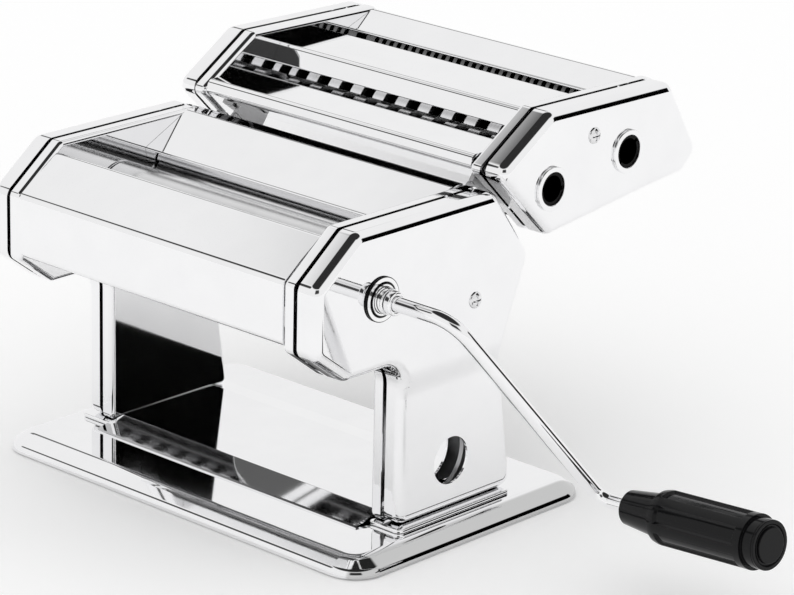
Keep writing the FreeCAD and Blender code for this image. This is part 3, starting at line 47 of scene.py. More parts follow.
bpy.ops.object.camera_add(location=eye)
camera = bpy.context.object
camera.rotation_mode = "QUATERNION"
looking = (aim - eye).to_track_quat("-Z", "Y")
camera.rotation_quaternion = looking @ Quaternion((0, 0, 1), camera_lean)
camera.data.lens = lens_length
camera.data.sensor_width = film_width
bpy.context.scene.camera = camera
bpy.context.scene.view_settings.view_transform = "Standard"


# The studio is a white floor that runs on as a white room. Dark screens stand in it out of the
# camera's sight, and the polished sheet shows them as its black shapes and lines.
class Wire:
    """One socket of a material; sums on it are written as plain expressions."""

    def __init__(self, finish, socket):
        self.finish = finish
        self.socket = socket

    def sum(self, operation, first, second):
        return self.finish.node("Math", {"operation": operation}, {0: first, 1: second})

    def __add__(self, other):
        return self.sum("ADD", self, other)

    def __radd__(self, other):
        return self.sum("ADD", other, self)

    def __sub__(self, other):
        return self.sum("SUBTRACT", self, other)

    def __rsub__(self, other):
        return self.sum("SUBTRACT", other, self)

    def __mul__(self, other):
        return self.sum("MULTIPLY", self, other)

    def __rmul__(self, other):
        return self.sum("MULTIPLY", other, self)

    def below(self, limit):
        return self.sum("LESS_THAN", self, limit)


class Finish:
    """The node tree of one finish."""

    def __init__(self, name, owner=None):
        self.owner = owner or bpy.data.materials.new(name)
        self.owner.use_nodes = True
        self.tree = self.owner.node_tree
        self.tree.nodes.clear()

    def node(self, kind, settings=None, inputs=None, out=0):
        """Make a node, set it up, feed it values or wires, and give one of its outputs."""
        made = self.tree.nodes.new("ShaderNode" + kind)
        for key, setting in (settings or {}).items():
            setattr(made, key, setting)
        for key, value in (inputs or {}).items():
            if isinstance(value, Wire):
                self.tree.links.new(value.socket, made.inputs[key])
            else:
                made.inputs[key].default_value = value
        return Wire(self, made.outputs[out]) if made.outputs else None

    def rise(self, wire, start, end, low=0.0, high=1.0):
        """A smooth rise from low to high as a wire goes from start to end."""
        return self.node("MapRange", {"interpolation_type": "SMOOTHSTEP"}, {
            "Value": wire, "From Min": start, "From Max": end, "To Min": low, "To Max": high})


def screen(room, bearing, height, left, right, low, high, soft, dark):
    """How much of the room's light a screen takes away, by bearing and height in degrees."""
    taken = dark
    for wire, start, end in ((bearing, left, right), (height, low, high)):
        taken = room.rise(wire, start - soft, start + soft) * taken
        taken = room.rise(wire, end - soft, end + soft, 1, 0) * taken
    return taken


room_white, room_light = 1.0, 0.92
top_from, top_full, top_dark = 46.6, 54.2, 0.97
screens = [  # bearings from +X towards +Y and heights in degrees, how soft the edges are, how dark
    (37, 63, -9, 28, 2, 1.0),
    (-62, -22, 16, 42, 4, 0.95),
    (128, 152, 27.5, 35, 1.5, 0.88),
    (205, 222, 32, 44, 2, 0.95),
]
world = bpy.data.worlds.new("studio")
bpy.context.scene.world = world
room = Finish("studio", world)
ray = room.node("TexCoord", out="Generated")
across, along, up = (room.node("SeparateXYZ", inputs={0: ray}, out=i) for i in range(3))
bearing = room.node("Math", {"operation": "ARCTAN2"}, {0: along, 1: across}) * degrees(1)
bearing = bearing + bearing.below(-90) * 360
height = room.node("Math", {"operation": "ARCSINE"}, {0: up}) * degrees(1)
taken = room.rise(height, top_from, top_full, 0, top_dark)
for each in screens:
    shadow = screen(room, bearing, height, *each)
    taken = room.node("Math", {"operation": "MAXIMUM"}, {0: taken, 1: shadow})
seen = room.node("LightPath", out="Is Camera Ray")
shiny = room.node("LightPath", out="Is Glossy Ray")
level = (1 - seen) * (room_light * (1 - taken * shiny)) + seen * room_white
room.node("OutputWorld", inputs={"Surface": room.node("Background", inputs={"Color": level})})

floor_size, floor_shade, floor_glow = 12, 0.95, 0.12
bpy.ops.object.select_all(action="DESELECT")
bpy.ops.mesh.primitive_plane_add(size=floor_size)
floor = bpy.context.object
floor.name = "studio_floor"
paint = Finish("floor_paint")
sight = paint.node("LightPath", out="Is Camera Ray") + paint.node("LightPath", out="Is Glossy Ray")
flat = paint.node("BsdfDiffuse", inputs={"Color": (floor_shade, floor_shade, floor_shade, 1)})
glow = paint.node("Emission", inputs={"Strength": floor_glow * sight})
paint.node("OutputMaterial", inputs={"Surface": paint.node("AddShader", inputs={0: flat, 1: glow})})
floor.data.materials.append(paint.owner)


# The base is a pan pressed from chromed sheet: a flat top, a broad slope and a short upright rim.
# Like nearly every sheet of the machine it is polished: it rolls slightly in its flats and has
# faint marks of wiping. Its right slope is painted a darker grey, as shade.
def grain(finish, scale, detail, stretch=(1, 1, 1)):
    """Noise over a piece, with its grain stretched along the axes."""
    place = finish.node("TexCoord", out="Object")
    stretched = finish.node("Mapping", inputs={"Vector": place, "Scale": stretch})
    return finish.node("TexNoise", inputs={"Vector": stretched, "Scale": scale, "Detail": detail})


def blend(finish, share, first, second):
    """A colour between two others."""
    return finish.node("Mix", {"data_type": "RGBA"}, {"Factor": share, 6: first, 7: second}, out=2)


def coordinate(finish, axis):
    """A point's coordinate along an axis (0, 1 or 2) in its piece."""
    return finish.node("SeparateXYZ", inputs={0: finish.node("TexCoord", out="Object")}, out=axis)


def reach(finish, y, z):
    """How far a point is from the line along X through y and z, in millimetres."""
    off_y, off_z = coordinate(finish, 1) - y * mm, coordinate(finish, 2) - z * mm
    return finish.node("Math", {"operation": "SQRT"}, {0: off_y * off_y + off_z * off_z})


def skin(finish, tint, rough, relief, **plain):
    """Close a finish: colour, roughness and relief go into one shader, with its plain values."""
    bump = finish.node("Bump", inputs={"Height": relief, "Distance": 1 * mm})
    shader = finish.node("BsdfPrincipled", inputs={
        "Base Color": tint, "Roughness": rough, "Normal": bump, **plain})
    finish.node("OutputMaterial", inputs={"Surface": shader})
    return finish.owner


def metal(name, shade, rough, wander, roll=0.0, marks=0.0, stretch=(1, 1, 1), painted_shade_from=None):
    """A bare metal whose roughness wanders, with a slow roll of its surface and fine marks.

    From a place given along X, in millimetres, it is painted a darker grey, as shade."""
    cloud_scale, roll_scale, mark_scale, painted_shade_grey, fade = 60, 14, 900, 0.6, 1.5
    clear, clouded = (1, 1, 1.006), (0.94, 0.94, 0.95)
    finish = Finish(name)
    cloud = grain(finish, cloud_scale, 3)
    tones = [(*(shade * part for part in tone), 1) for tone in (clear, clouded)]
    tint = blend(finish, cloud, *tones)
    # Painted shade: past that place along X the colour is mixed towards a flat grey.
    if painted_shade_from is not None:
        right = finish.rise(coordinate(finish, 0), painted_shade_from * mm, (painted_shade_from + fade) * mm)
        tint = blend(finish, right, tint, (painted_shade_grey, painted_shade_grey, painted_shade_grey, 1))
    relief = grain(finish, roll_scale, 1) * roll + grain(finish, mark_scale, 2, stretch) * marks
    return skin(finish, tint, cloud * wander + (rough - wander / 2), relief, Metallic=1.0)


mirror_steel = metal("mirror_steel", 0.94, 0.045, 0.03, roll=0.05, marks=0.0006)


touch = 1e-3


def at_level(axis, level):
    """A test: does it lie wholly at one level of an axis (0, 1 or 2)?"""
    return lambda points: all(abs(point[axis] - level) < touch for point in points)


def at_place(place):
    """A test: is the vertex at this place?"""
    return lambda points: (points[0] - place).length < touch


def on_line(place):
    """A test: does the edge lie on the line along X through this place?"""
    return lambda points: all((point - place).yz.length < touch for point in points)


def pick(piece, kind, test):
    """Select the vertices, edges or faces whose points, in millimetres, pass a test."""
    bpy.ops.mesh.select_mode(type=kind)
    mesh = bmesh.from_edit_mesh(piece.data)
    for vertex in mesh.verts:
        vertex.select = False
    for group in (mesh.edges, mesh.faces):
        for item in group:
            item.select = False
    for item in {"VERT": mesh.verts, "EDGE": mesh.edges, "FACE": mesh.faces}[kind]:
        points = [item.co / mm] if kind == "VERT" else [vertex.co / mm for vertex in item.verts]
        if test(points):
            item.select_set(True)
    mesh.select_flush_mode()
    bmesh.update_edit_mesh(piece.data)


def slide(x=0.0, y=0.0, z=0.0):
    bpy.ops.transform.translate(value=Vector((x, y, z)) * mm)


def draw_out(x=0.0, y=0.0, z=0.0):
    """Extrude what is picked by a move in millimetres."""
    bpy.ops.mesh.extrude_region_move(TRANSFORM_OT_translate={"value": Vector((x, y, z)) * mm})


def start(name):
    """Name the new primitive and open it for modelling, all of it selected."""
    piece = bpy.context.object
    piece.name = piece.data.name = name
    bpy.ops.object.mode_set(mode="EDIT")
    bpy.ops.mesh.select_mode(type="VERT")
    bpy.ops.mesh.select_all(action="SELECT")
    return piece


def blank(name, corners, lay, segments=8):
    """A flat blank: a polygon whose corners are slid to their places and then rounded.

    A corner is (a, b, radius), and lay puts (a, b) in the machine."""
    bpy.ops.object.select_all(action="DESELECT")
    bpy.ops.mesh.primitive_circle_add(vertices=len(corners), fill_type="NGON")
    piece = start(name)
    targets = [Vector(lay(a, b)) for a, b, radius in corners]
    sources = [vertex.co / mm for vertex in piece.data.vertices]
    for source, target in zip(sources, targets):
        pick(piece, "VERT", at_place(source))
        slide(*(target - source))
    for index, (a, b, radius) in enumerate(corners):
        if radius:
            before = targets[index - 1] - targets[index]
            after = targets[(index + 1) % len(corners)] - targets[index]
            pick(piece, "VERT", at_place(targets[index]))
            bpy.ops.mesh.bevel(offset=radius / tan(before.angle(after) / 2) * mm, segments=segments,
                               affect="VERTICES", clamp_overlap=False)
    bpy.ops.mesh.select_all(action="SELECT")
    return piece


def round_off(radius, segments=6):
    """Round the picked edges."""
    bpy.ops.mesh.bevel(offset=radius * mm, segments=segments, affect="EDGES", clamp_overlap=False)


def tidy_normals():
    """Merge what lies together and turn all faces outwards."""
    bpy.ops.mesh.select_all(action="SELECT")
    bpy.ops.mesh.remove_doubles(threshold=touch * mm)
    bpy.ops.mesh.normals_make_consistent(inside=False)


def apply_modifier(kind, **settings):
    """Add one modifier to the piece at hand, set it and apply it."""
    bpy.ops.object.modifier_add(type=kind)
    made = bpy.context.object.modifiers[-1]
    for key, setting in settings.items():
        setattr(made, key, setting)
    bpy.ops.object.modifier_apply(modifier=made.name)


def only(piece):
    """Leave modelling, and make one piece the one at hand."""
    if bpy.context.mode != "OBJECT":
        bpy.ops.object.mode_set(mode="OBJECT")
    bpy.ops.object.select_all(action="DESELECT")
    piece.select_set(True)
    bpy.context.view_layer.objects.active = piece


def walled(piece):
    """Give an open shell its wall of sheet, inwards."""
    only(piece)
    apply_modifier("SOLIDIFY", thickness=sheet * mm, offset=-1, use_even_offset=True)
    return piece


def drilled(piece, tools):
    """Cut a piece by other pieces, which are then thrown away."""
    for tool in tools:
        only(piece)
        apply_modifier("BOOLEAN", operation="DIFFERENCE", object=tool, solver="EXACT")
        bpy.data.objects.remove(tool)
    return piece


def shaded(piece, crease=32):
    """Shade a piece so that its rounds are smooth and its flats stay flat."""
    only(piece)
    bpy.ops.object.shade_smooth_by_angle(angle=radians(crease))
    apply_modifier("WEIGHTED_NORMAL", keep_sharp=True)
    return piece


def fitted(piece, finish, body, node):
    """Give a piece its finish, and put it on its body in place of its node."""
    piece.data.materials.clear()
    piece.data.materials.append(finish)
    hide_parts(node)
    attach(piece, body)


def chromed(piece, body, node):
    """Finish a piece as polished sheet."""
    fitted(piece, mirror_steel, body, node)


sheet = 1.0
base_x, base_y, base_low, base_top, base_corner = 104.7, 70.2, 0.8, 7.74, 14.5
slope_in, slope_rise, foot_round, brow_round = 7.0, 4.4, 2.0, 2.2
base_corners = [(-base_x, -base_y, base_corner), (base_x, -base_y, base_corner),
                (base_x, base_y, base_corner), (-base_x, base_y, base_corner)]
base = blank("base_pressed", base_corners, lambda a, b: (a, b, base_low), segments=16)
draw_out(z=base_top - slope_rise - base_low)
bpy.ops.mesh.inset(thickness=slope_in * mm, depth=slope_rise * mm)
for edge_z, rounding in ((base_top - slope_rise, foot_round), (base_top, brow_round)):
    pick(base, "EDGE", at_level(2, edge_z))
    round_off(rounding)
tidy_normals()
pick(base, "FACE", at_level(2, base_low))
bpy.ops.mesh.delete(type="ONLY_FACE")
# Painted shade: the base's right slope is coloured a darker grey from here along X.
slope_begins = 96.8
base_steel_and_shade = metal("base_steel_and_shade", 0.94, 0.045, 0.03, roll=0.05, marks=0.0006, painted_shade_from=slope_begins)
fitted(shaded(walled(base), crease=40), base_steel_and_shade, "frame", "base_pan")


# The feet are turned from black rubber and sit inside the pan; the four base screws come up past
# them, through the pan, into the flanges of the legs.
def plastic(name, shade, rough, wander, speck=0.0, roll=0.0, sheen=0.5):
    """A moulded plastic or rubber: an even body with a faintly uneven, speckled skin."""
    cloud_scale, roll_scale, speck_scale, clouded = 90, 25, 1500, 0.82
    finish = Finish(name)
    cloud = grain(finish, cloud_scale, 3)
    tint = blend(finish, cloud, (*shade, 1), (*(tone * clouded for tone in shade), 1))
    relief = grain(finish, speck_scale, 2) * speck + grain(finish, roll_scale, 1) * roll
    shine = {"Specular IOR Level": sheen}
    return skin(finish, tint, cloud * wander + (rough - wander / 2), relief, **shine)


def finish_nodes(finish, *nodes):
    """Give the CAD's own pieces a finish."""
    for node in nodes:
        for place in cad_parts[node].material_slots:
            place.material = finish


foot_rubber = plastic("foot_rubber", (0.02, 0.02, 0.021), 0.75, 0.2, speck=0.02)
screw_steel = metal("screw_steel", 0.82, 0.12, 0.06, marks=0.003)
finish_nodes(foot_rubber, "rubber_feet")
finish_nodes(screw_steel, "base_screws")


# The tie plate is a flat tray of polished sheet between the legs, ramped down to the base in front
# and at the back.
def folded(name, path, half_length, out, moved=(0, 0)):
    """A sheet folded along a path of (y, z, bend radius) across the machine.

    The path is its outer face. Out says which way that faces in its first run; moved shifts it."""
    points = [Vector((0, y + moved[0], z + moved[1])) for y, z, bend in path]
    bpy.ops.object.select_all(action="DESELECT")
    bpy.ops.mesh.primitive_plane_add(size=1)
    piece = start(name)
    ends = {(-0.5, -0.5): (-half_length, 0), (0.5, -0.5): (half_length, 0),
            (0.5, 0.5): (half_length, 1), (-0.5, 0.5): (-half_length, 1)}
    for (a, b), (x, index) in ends.items():
        source = Vector((a, b, 0)) / mm
        pick(piece, "VERT", at_place(source))
        slide(*(points[index] + Vector((x, 0, 0)) - source))
    for index in range(2, len(points)):
        pick(piece, "EDGE", on_line(points[index - 1]))
        draw_out(*(points[index] - points[index - 1]))
    bpy.ops.mesh.select_all(action="SELECT")
    bpy.ops.mesh.normals_make_consistent(inside=False)
    mesh = bmesh.from_edit_mesh(piece.data)
    middle = (points[0] + points[1]) / 2
    first = min(mesh.faces, key=lambda face: (face.calc_center_median() / mm - middle).length)
    if first.normal.dot(Vector(out)) < 0:
        bpy.ops.mesh.flip_normals()
    for index in range(1, len(points) - 1):
        bend = path[index][2]
        if bend:
            turn = (points[index] - points[index - 1]).angle(points[index + 1] - points[index])
            pick(piece, "EDGE", on_line(points[index]))
            round_off(bend * tan(turn / 2))
    return walled(piece)


panel_end = 75.2
tie_path = [(-40, 8.79, 0), (-25.4, 11, 2.5), (28, 11, 2.5), (40, 8.79, 0)]
tie = folded("tie_tray", tie_path, panel_end, (0, 0, 1))
chromed(shaded(tie), "frame", "tie_plate")


# Each side has an inner and an outer cover, pressed from chromed sheet with a rounded rim and
# closed over the plate. A thin dark seam shows between the two, where the plate is painted dark as
# shade.
plate_in, plate_out, inner_face, cheek_face, outer_rim, inner_rim = 81.0, 83.0, 75.3, 93.0, 4.4, 2.0
side_outline = [
    (-31.6, 9.7, 3), (37, 9.7, 3), (27.3, 73, 11), (41.5, 109, 8), (19.8, 138.6, 3),
    (-59.3, 138.6, 3), (-82.6, 120.5, 3), (-82.6, 93, 3), (-64.5, 79.5, 3), (-31.6, 79.5, 11)]


def pressed(name, outline, mouth, face, rim, step=None):
    """A pressed cover, open at its mouth, rounded to its face; step presses part of the face in."""
    out = 1 if face > mouth else -1
    eased = [(a, b, max(radius, rim + 1)) for a, b, radius in outline]
    piece = blank(name, eased, lambda a, b: (mouth, a, b), segments=9)
    draw_out(x=face - mouth)
    pick(piece, "EDGE", at_level(0, face))
    round_off(rim, segments=8)
    if step:
        step(piece, out)
    tidy_normals()
    pick(piece, "FACE", at_level(0, mouth))
    bpy.ops.mesh.delete(type="ONLY_FACE")
    return walled(piece)


through_cheek, through_inner, through_plate = (90, 30), (78, 10), (82, 10)


def drill(radius, side, through, y, z):
    """A round cutter along X on one side; through is its middle and its length."""
    middle, length = through
    bpy.ops.mesh.primitive_cylinder_add(
        vertices=64, radius=radius * mm, depth=length * mm,
        location=Vector((side * middle, y, z)) * mm, rotation=(0, pi / 2, 0))
    return bpy.context.object


leg_step, step_top, step_low = 2.4, 76.0, 63.0


def leg_step_in(piece, out):
    """Press the leg of the outer cover in a little, through a soft step below the head."""
    rows = 10
    depth = cheek_face - plate_out
    levels = [step_top + (step_low - step_top) * row / rows for row in range(rows + 1)]
    depths = [depth - leg_step * (1 - cos(pi * row / rows)) / 2 for row in range(rows + 1)]
    bpy.ops.mesh.select_all(action="SELECT")
    for level in levels:
        bpy.ops.mesh.bisect(plane_co=(0, 0, level * mm), plane_no=(0, 0, 1))
        bpy.ops.mesh.select_all(action="SELECT")
    middle = (out * plate_out * mm, 0, 0)
    for level, before, now in zip(levels[1:], depths, depths[1:]):
        pick(piece, "VERT", lambda here: here[0].z < level + touch)
        bpy.ops.transform.resize(value=(now / before, 1, 1), center_override=middle)


clamp_y, clamp_z, clamp_radius, clamp_clear = -1.2, 30.5, 10.0, 14.0
front_axis, rear_axis, crank_axis, axis_z = -26.0, 4.6, -46.5, 109.8
boss_spigot, cam_shaft, front_hole, rear_hole = 7.65, 5.6, 7.0, 8.0
for word, side in (("right", 1), ("left", -1)):
    cheek = pressed("cheek_" + word, side_outline, side * plate_out, side * cheek_face, outer_rim,
                    leg_step_in)
    inner = pressed("inner_" + word, side_outline, side * plate_in, side * inner_face, inner_rim)
    if side > 0:
        drilled(cheek, [drill(clamp_radius, side, through_cheek, clamp_y, clamp_z),
                        drill(boss_spigot, side, through_cheek, crank_axis, axis_z)])
        drilled(inner, [drill(clamp_clear, side, through_inner, clamp_y, clamp_z)])
    else:
        drilled(cheek, [drill(cam_shaft, side, through_cheek, rear_axis, axis_z)])
    drilled(inner, [drill(front_hole, side, through_inner, front_axis, axis_z),
                    drill(rear_hole, side, through_inner, rear_axis, axis_z)])
    chromed(shaded(cheek), "frame", "cheek_cover_" + word)
    chromed(shaded(inner), "frame", "inner_cover_" + word)


# The side frames are bright steel plates between the covers, set back a little in the seam; their
# webs are painted dark as the seam's shade. Their feet are flanges that lie on the base, and they
# carry the rollers, the rods and the covers.
# Painted shade: the plates' webs, and the rods, blocks, guides, dial cam and spring, take a dark
# steel colour for the shade they stand in.
plate_steel = metal("plate_steel", 0.42, 0.3, 0.1, marks=0.006, stretch=(1, 0.1, 1))
gear_steel = metal("gear_steel", 0.3, 0.36, 0.12, marks=0.008)
# Painted shade: the scrapers and the cutter rods and strippers are darker still, as the shade deep
# inside.
inner_steel_painted_dark = metal("inner_steel_painted_dark", 0.16, 0.36, 0.12, marks=0.006)
seam_inset, plate_gap, plate_clear = 2.4, 0.02, 2.0
flange_top, flange_in, flange_out, flange_front, flange_back = 9.5, 76.0, 92.8, -33.4, 34.0


def thick(name, outline, lay, x=0.0, z=0.0, edge=0.3):
    """A flat plate: its outline drawn out to its thickness, with its edges taken off."""
    plate = blank(name, outline, lay)
    draw_out(x=x, z=z)
    tidy_normals()
    return softened(plate, edge, segments=2)


def softened(piece, width, segments=3, angle=40):
    """Take the edges sharper than an angle off a piece."""
    only(piece)
    apply_modifier("BEVEL", width=width * mm, segments=segments, limit_method="ANGLE",
                   angle_limit=radians(angle), use_clamp_overlap=True)
    return piece


def joined(first, *others):
    """Make several shapes one piece."""
    only(first)
    for other in others:
        other.select_set(True)
    bpy.ops.object.join()
    return first


def set_in(outline, inset):
    """An outline moved inwards, corner by corner."""
    least_radius = 0.6
    moved = []
    for index, (a, b, radius) in enumerate(outline):
        here = Vector((a, b))
        before = (here - Vector(outline[index - 1][:2])).normalized()
        after = (Vector(outline[(index + 1) % len(outline)][:2]) - here).normalized()
        share = inset / (1 + before.dot(after))
        moved.append((a - (before.y + after.y) * share, b + (before.x + after.x) * share,
                      max(radius - inset, least_radius)))
    return moved


flange_outline = [(flange_in, flange_front, 2), (flange_out, flange_front, 3),
                  (flange_out, flange_back, 3), (flange_in, flange_back, 2)]
for word, side in (("right", 1), ("left", -1)):
    web = thick("web_" + word, set_in(side_outline, seam_inset),
                lambda a, b: (side * (plate_in + plate_gap), a, b),
                x=side * (plate_out - plate_in - 2 * plate_gap))
    drilled(web, [drill(clamp_clear + plate_clear, side, through_plate, clamp_y, clamp_z),
                  drill(front_hole, side, through_plate, front_axis, axis_z),
                  drill(rear_hole, side, through_plate, rear_axis, axis_z)])
    flange = thick("flange_" + word, flange_outline, lambda a, b: (side * a, b, base_top),
                   z=flange_top - base_top, edge=0.5)
    web.data.materials.append(plate_steel)
    flange.data.materials.append(mirror_steel)
    frame_plate = shaded(joined(web, flange))
    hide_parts("side_frame_" + word)
    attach(frame_plate, "frame")
finish_nodes(plate_steel, "tie_rods", "bearing_blocks", "carriage_rod", "head_guides")
finish_nodes(inner_steel_painted_dark, "scrapers")


# The front cover, the feed panel and the rear cover are folded from chromed sheet and close the
# head between the sides. The front panel is left bare.
front_path = [(-72, 94.5, 0), (-82.6, 94.5, 2.5), (-82.6, 120.8, 4), (-61.5, 135.2, 2.5),
              (-41, 118, 0)]
feed_path = [(-11.5, 122, 0), (-12.5, 126.8, 1.2), (11.5, 138.6, 2.5), (16.5, 138.6, 0)]
rear_path = [(16.8, 138.6, 0), (19.8, 138.6, 2.5), (41.5, 109, 8), (34, 90, 2.5), (26, 90, 0)]
for name, path, out, node in (("front_panel", front_path, (0, 0, -1), "front_cover"),
                              ("feed_plate", feed_path, (0, -1, 0), "feed_panel"),
                              ("rear_panel", rear_path, (0, 0, 1), "rear_cover")):
    chromed(shaded(folded(name, path, panel_end, out)), "frame", node)


# The sheet rollers are ground steel barrels on plain journals, with a small chamfer at each end.
# Their gears and the drive pinion are cut from steel and sit outside the plates.
def disc(name, x, radius, y=0.0, z=0.0, sides=64, fill="NGON"):
    """A circle across X, open for modelling, with its place in its mesh."""
    bpy.ops.object.select_all(action="DESELECT")
    bpy.ops.mesh.primitive_circle_add(
        vertices=sides, radius=radius * mm, location=Vector((x, y, z)) * mm,
        rotation=(0, pi / 2, 0), fill_type=fill)
    bpy.ops.object.transform_apply(location=True, rotation=True, scale=True)
    return start(name)


def turned(name, stations, y=0.0, z=0.0, sides=64, bore=False):
    """A piece turned about X: its outline is drawn out and resized station by station.

    A station is (x, radius). With a bore, the stations run all round the ring's section."""
    x, radius = stations[0]
    piece = disc(name, x, radius, y, z, sides, "NOTHING" if bore else "NGON")
    for here, size in stations[1:]:
        draw_out(x=here - x)
        bpy.ops.transform.resize(value=(1, size / radius, size / radius),
                                 center_override=Vector((here, y, z)) * mm)
        x, radius = here, size
    tidy_normals()
    return piece


roller_steel = metal("roller_steel", 0.80, 0.2, 0.08, marks=0.004, stretch=(1, 0.03, 0.03))
roller_end, roller_radius, journal, shaft_end, rear_end = 74.8, 14.0, 5.0, 89.2, 85.2
for word, y, right_end in (("front", front_axis, shaft_end), ("rear", rear_axis, rear_end)):
    barrel = turned(word + "_barrel", [
        (-shaft_end, journal), (-roller_end, journal), (-roller_end, roller_radius),
        (roller_end, roller_radius), (roller_end, journal), (right_end, journal)], y, axis_z)
    body = word + "_roller"
    fitted(shaded(softened(barrel, width=0.8)), roller_steel, body, body)
bush_nylon = plastic("bush_nylon", (0.78, 0.77, 0.72), 0.45, 0.1, speck=0.01)
finish_nodes(bush_nylon, "roller_bushes", "cutter_bushes")
finish_nodes(gear_steel, "roller_gear", "drive_pinion", "pair_gear_front", "pair_gear_rear",
             "wide_driven_gear", "wide_idle_gear", "narrow_driven_gear", "narrow_idle_gear")


# The outer covers are each held by a chromed screw with a low domed head and a cross in it.
def cross_screw(name, face, y, z):
    """A domed screw head on a cover's face, with a cross cut in it."""
    out = 1 if face > 0 else -1
    head_radius, dome, tip, shank_radius, shank = 3.5, 1.4, 0.02, 1.5, 10
    slot_wide, slot_long, slot_tall, slot_at = 0.9, 4.4, 2, 1.6
    rows = 6
    stations = [(face - out * shank, shank_radius), (face, shank_radius), (face, head_radius)]
    stations += [(face + out * dome * sin(pi / 2 * row / rows),
                  head_radius * cos(pi / 2 * row / rows) + tip) for row in range(1, rows + 1)]
    head = turned(name, stations, y, z, sides=40)
    slots = []
    only(head)
    for size in ((slot_tall, slot_wide, slot_long), (slot_tall, slot_long, slot_wide)):
        bpy.ops.mesh.primitive_cube_add(
            size=1, location=Vector((face + out * slot_at, y, z)) * mm, scale=Vector(size) * mm)
        slots.append(bpy.context.object)
    return shaded(drilled(head, slots))


right_screw_at, left_screw_at = (8, 96.7), (24, 88)
right_screw = cross_screw("cover_screw_heads", cheek_face, *right_screw_at)
left_screw = cross_screw("cover_screw_left", -cheek_face, *left_screw_at)
fitted(joined(right_screw, left_screw), screw_steel, "frame", "cover_screws")


# The crank plugs into a socket at the front of the right side: a chromed boss ring on the cover,
# and inside it the plain cup of the drive shaft. Both are painted with rings of shade and
# reflection: dark in the bore, between ring and cup, and at the ring's rim.
def ring(name, inner, outer, low, high, edge, y=0.0, z=0.0, spigot=None):
    """A turned ring, its edges taken off. A spigot is the end and radius of its stepped tail."""
    tail = [(spigot[0], inner), spigot, (low, spigot[1])] if spigot else [(low, inner)]
    section = tail + [(low, outer), (high, outer), (high, inner), tail[0]]
    return shaded(softened(turned(name, section, y, z, bore=True), edge))


def banded(name, y, z, edges):
    """Turned steel seen end on, with painted shade and painted reflection: dark in its bore, then
    bright and dark by turns at its edges.
    """
    dark, bright, blur, cloud_scale, mark_scale = 0.008, 0.94, 0.15, 60, 700
    finish = Finish(name)
    radius = reach(finish, y, z)
    lit = finish.rise(radius, (edges[0] - blur) * mm, (edges[0] + blur) * mm)
    for number, edge in enumerate(edges[1:]):
        sign = 1 if number % 2 else -1
        lit = lit + finish.rise(radius, (edge - blur) * mm, (edge + blur) * mm) * sign
    tint = blend(finish, lit, (dark, dark, dark, 1), (bright, bright, bright, 1))
    rough = grain(finish, cloud_scale, 3) * 0.06 + 0.08
    return skin(finish, tint, rough, grain(finish, mark_scale, 2) * 0.004, Metallic=1.0)


boss_radius, boss_face, cup_radius, slack = 9.2, 94.0, 6.9, 0.05
spigot_end = (cheek_face - 1, boss_spigot - slack)
# Painted shade and reflection: dark and bright rings of colour by distance from the crank's axis.
boss_steel_painted_bands = banded("boss_steel_painted_bands", crank_axis, axis_z, edges=(5.5, 6.3, 7.3, 8.8))
boss = ring("boss_ring", cup_radius + slack, boss_radius, cheek_face, boss_face, edge=0.7,
            y=crank_axis, z=axis_z, spigot=spigot_end)
fitted(boss, boss_steel_painted_bands, "frame", "crank_boss")
cup_stem, cup_back, cup_floor, cup_face, cup_bore = 79.5, 88.2, 88.9, 94.4, 5.5
cup = turned("crank_cup", [
    (cup_stem, journal), (cup_back, journal), (cup_back, cup_radius), (cup_face, cup_radius),
    (cup_face, cup_bore), (cup_floor, cup_bore)], crank_axis, axis_z)
fitted(shaded(softened(cup, width=0.25)), boss_steel_painted_bands, "drive_shaft", "crank_socket")


# The crank is one chromed rod, bent twice, with its plug and a loose collar at the head end and a
# washer before the grip. It is made along the shaft's axis and then turned down to its angle.
crank_angle, rod_radius, rod_start = radians(36), 3.0, 91.6
elbow_x, elbow_round, drop_x, drop, drop_round = 130.5, 13.0, 158.8, 99.0, 7.0
tip_x, tip_drop = 240.0, 89.13
plug_from, plug_to, plug_radius = 89.9, 97.8, 5.35
collar_from, collar_to, collar_radius = 98, 101.4, 4.9
crank_shift = Matrix.Translation(Vector((0, crank_axis, axis_z)) * mm)
crank_place = crank_shift @ Matrix.Rotation(crank_angle, 4, "X")


def placed(piece, matrix):
    """Put a piece in its place and keep the place in its mesh."""
    only(piece)
    piece.matrix_world = matrix @ piece.matrix_world
    bpy.ops.object.transform_apply(location=True, rotation=True, scale=True)
    return piece


elbow, lower = Vector((elbow_x, 0, 0)), Vector((drop_x, 0, -drop))
tip = Vector((tip_x, 0, -tip_drop))
runs = [Vector((1, 0, 0)), (lower - elbow).normalized(), (tip - lower).normalized()]
rod = disc("crank_rod", rod_start, rod_radius, sides=32)
reached = Vector((rod_start, 0, 0))
for corner, bend, before, after in ((elbow, elbow_round, runs[0], runs[1]),
                                    (lower, drop_round, runs[1], runs[2])):
    turn = before.angle(after)
    back = bend * tan(turn / 2)
    draw_out(*(corner - before * back - reached))
    hub = corner + (after - before).normalized() * (bend / cos(turn / 2))
    about = before.cross(after).normalized()
    bpy.ops.mesh.spin(steps=12, angle=-turn, center=hub * mm, axis=about)
    reached = corner + after * back
draw_out(*(tip - reached))
tidy_normals()
only(rod)
plug = turned("plug", [(plug_from, plug_radius), (plug_to, plug_radius)], sides=48)
placed(shaded(softened(joined(rod, plug), width=0.5)), crank_place)
chromed(rod, "crank", "crank_arm")

collar = ring("rod_collar", rod_radius + slack, collar_radius, collar_from, collar_to, edge=0.8)
chromed(placed(collar, crank_place), "crank", "crank_collar")


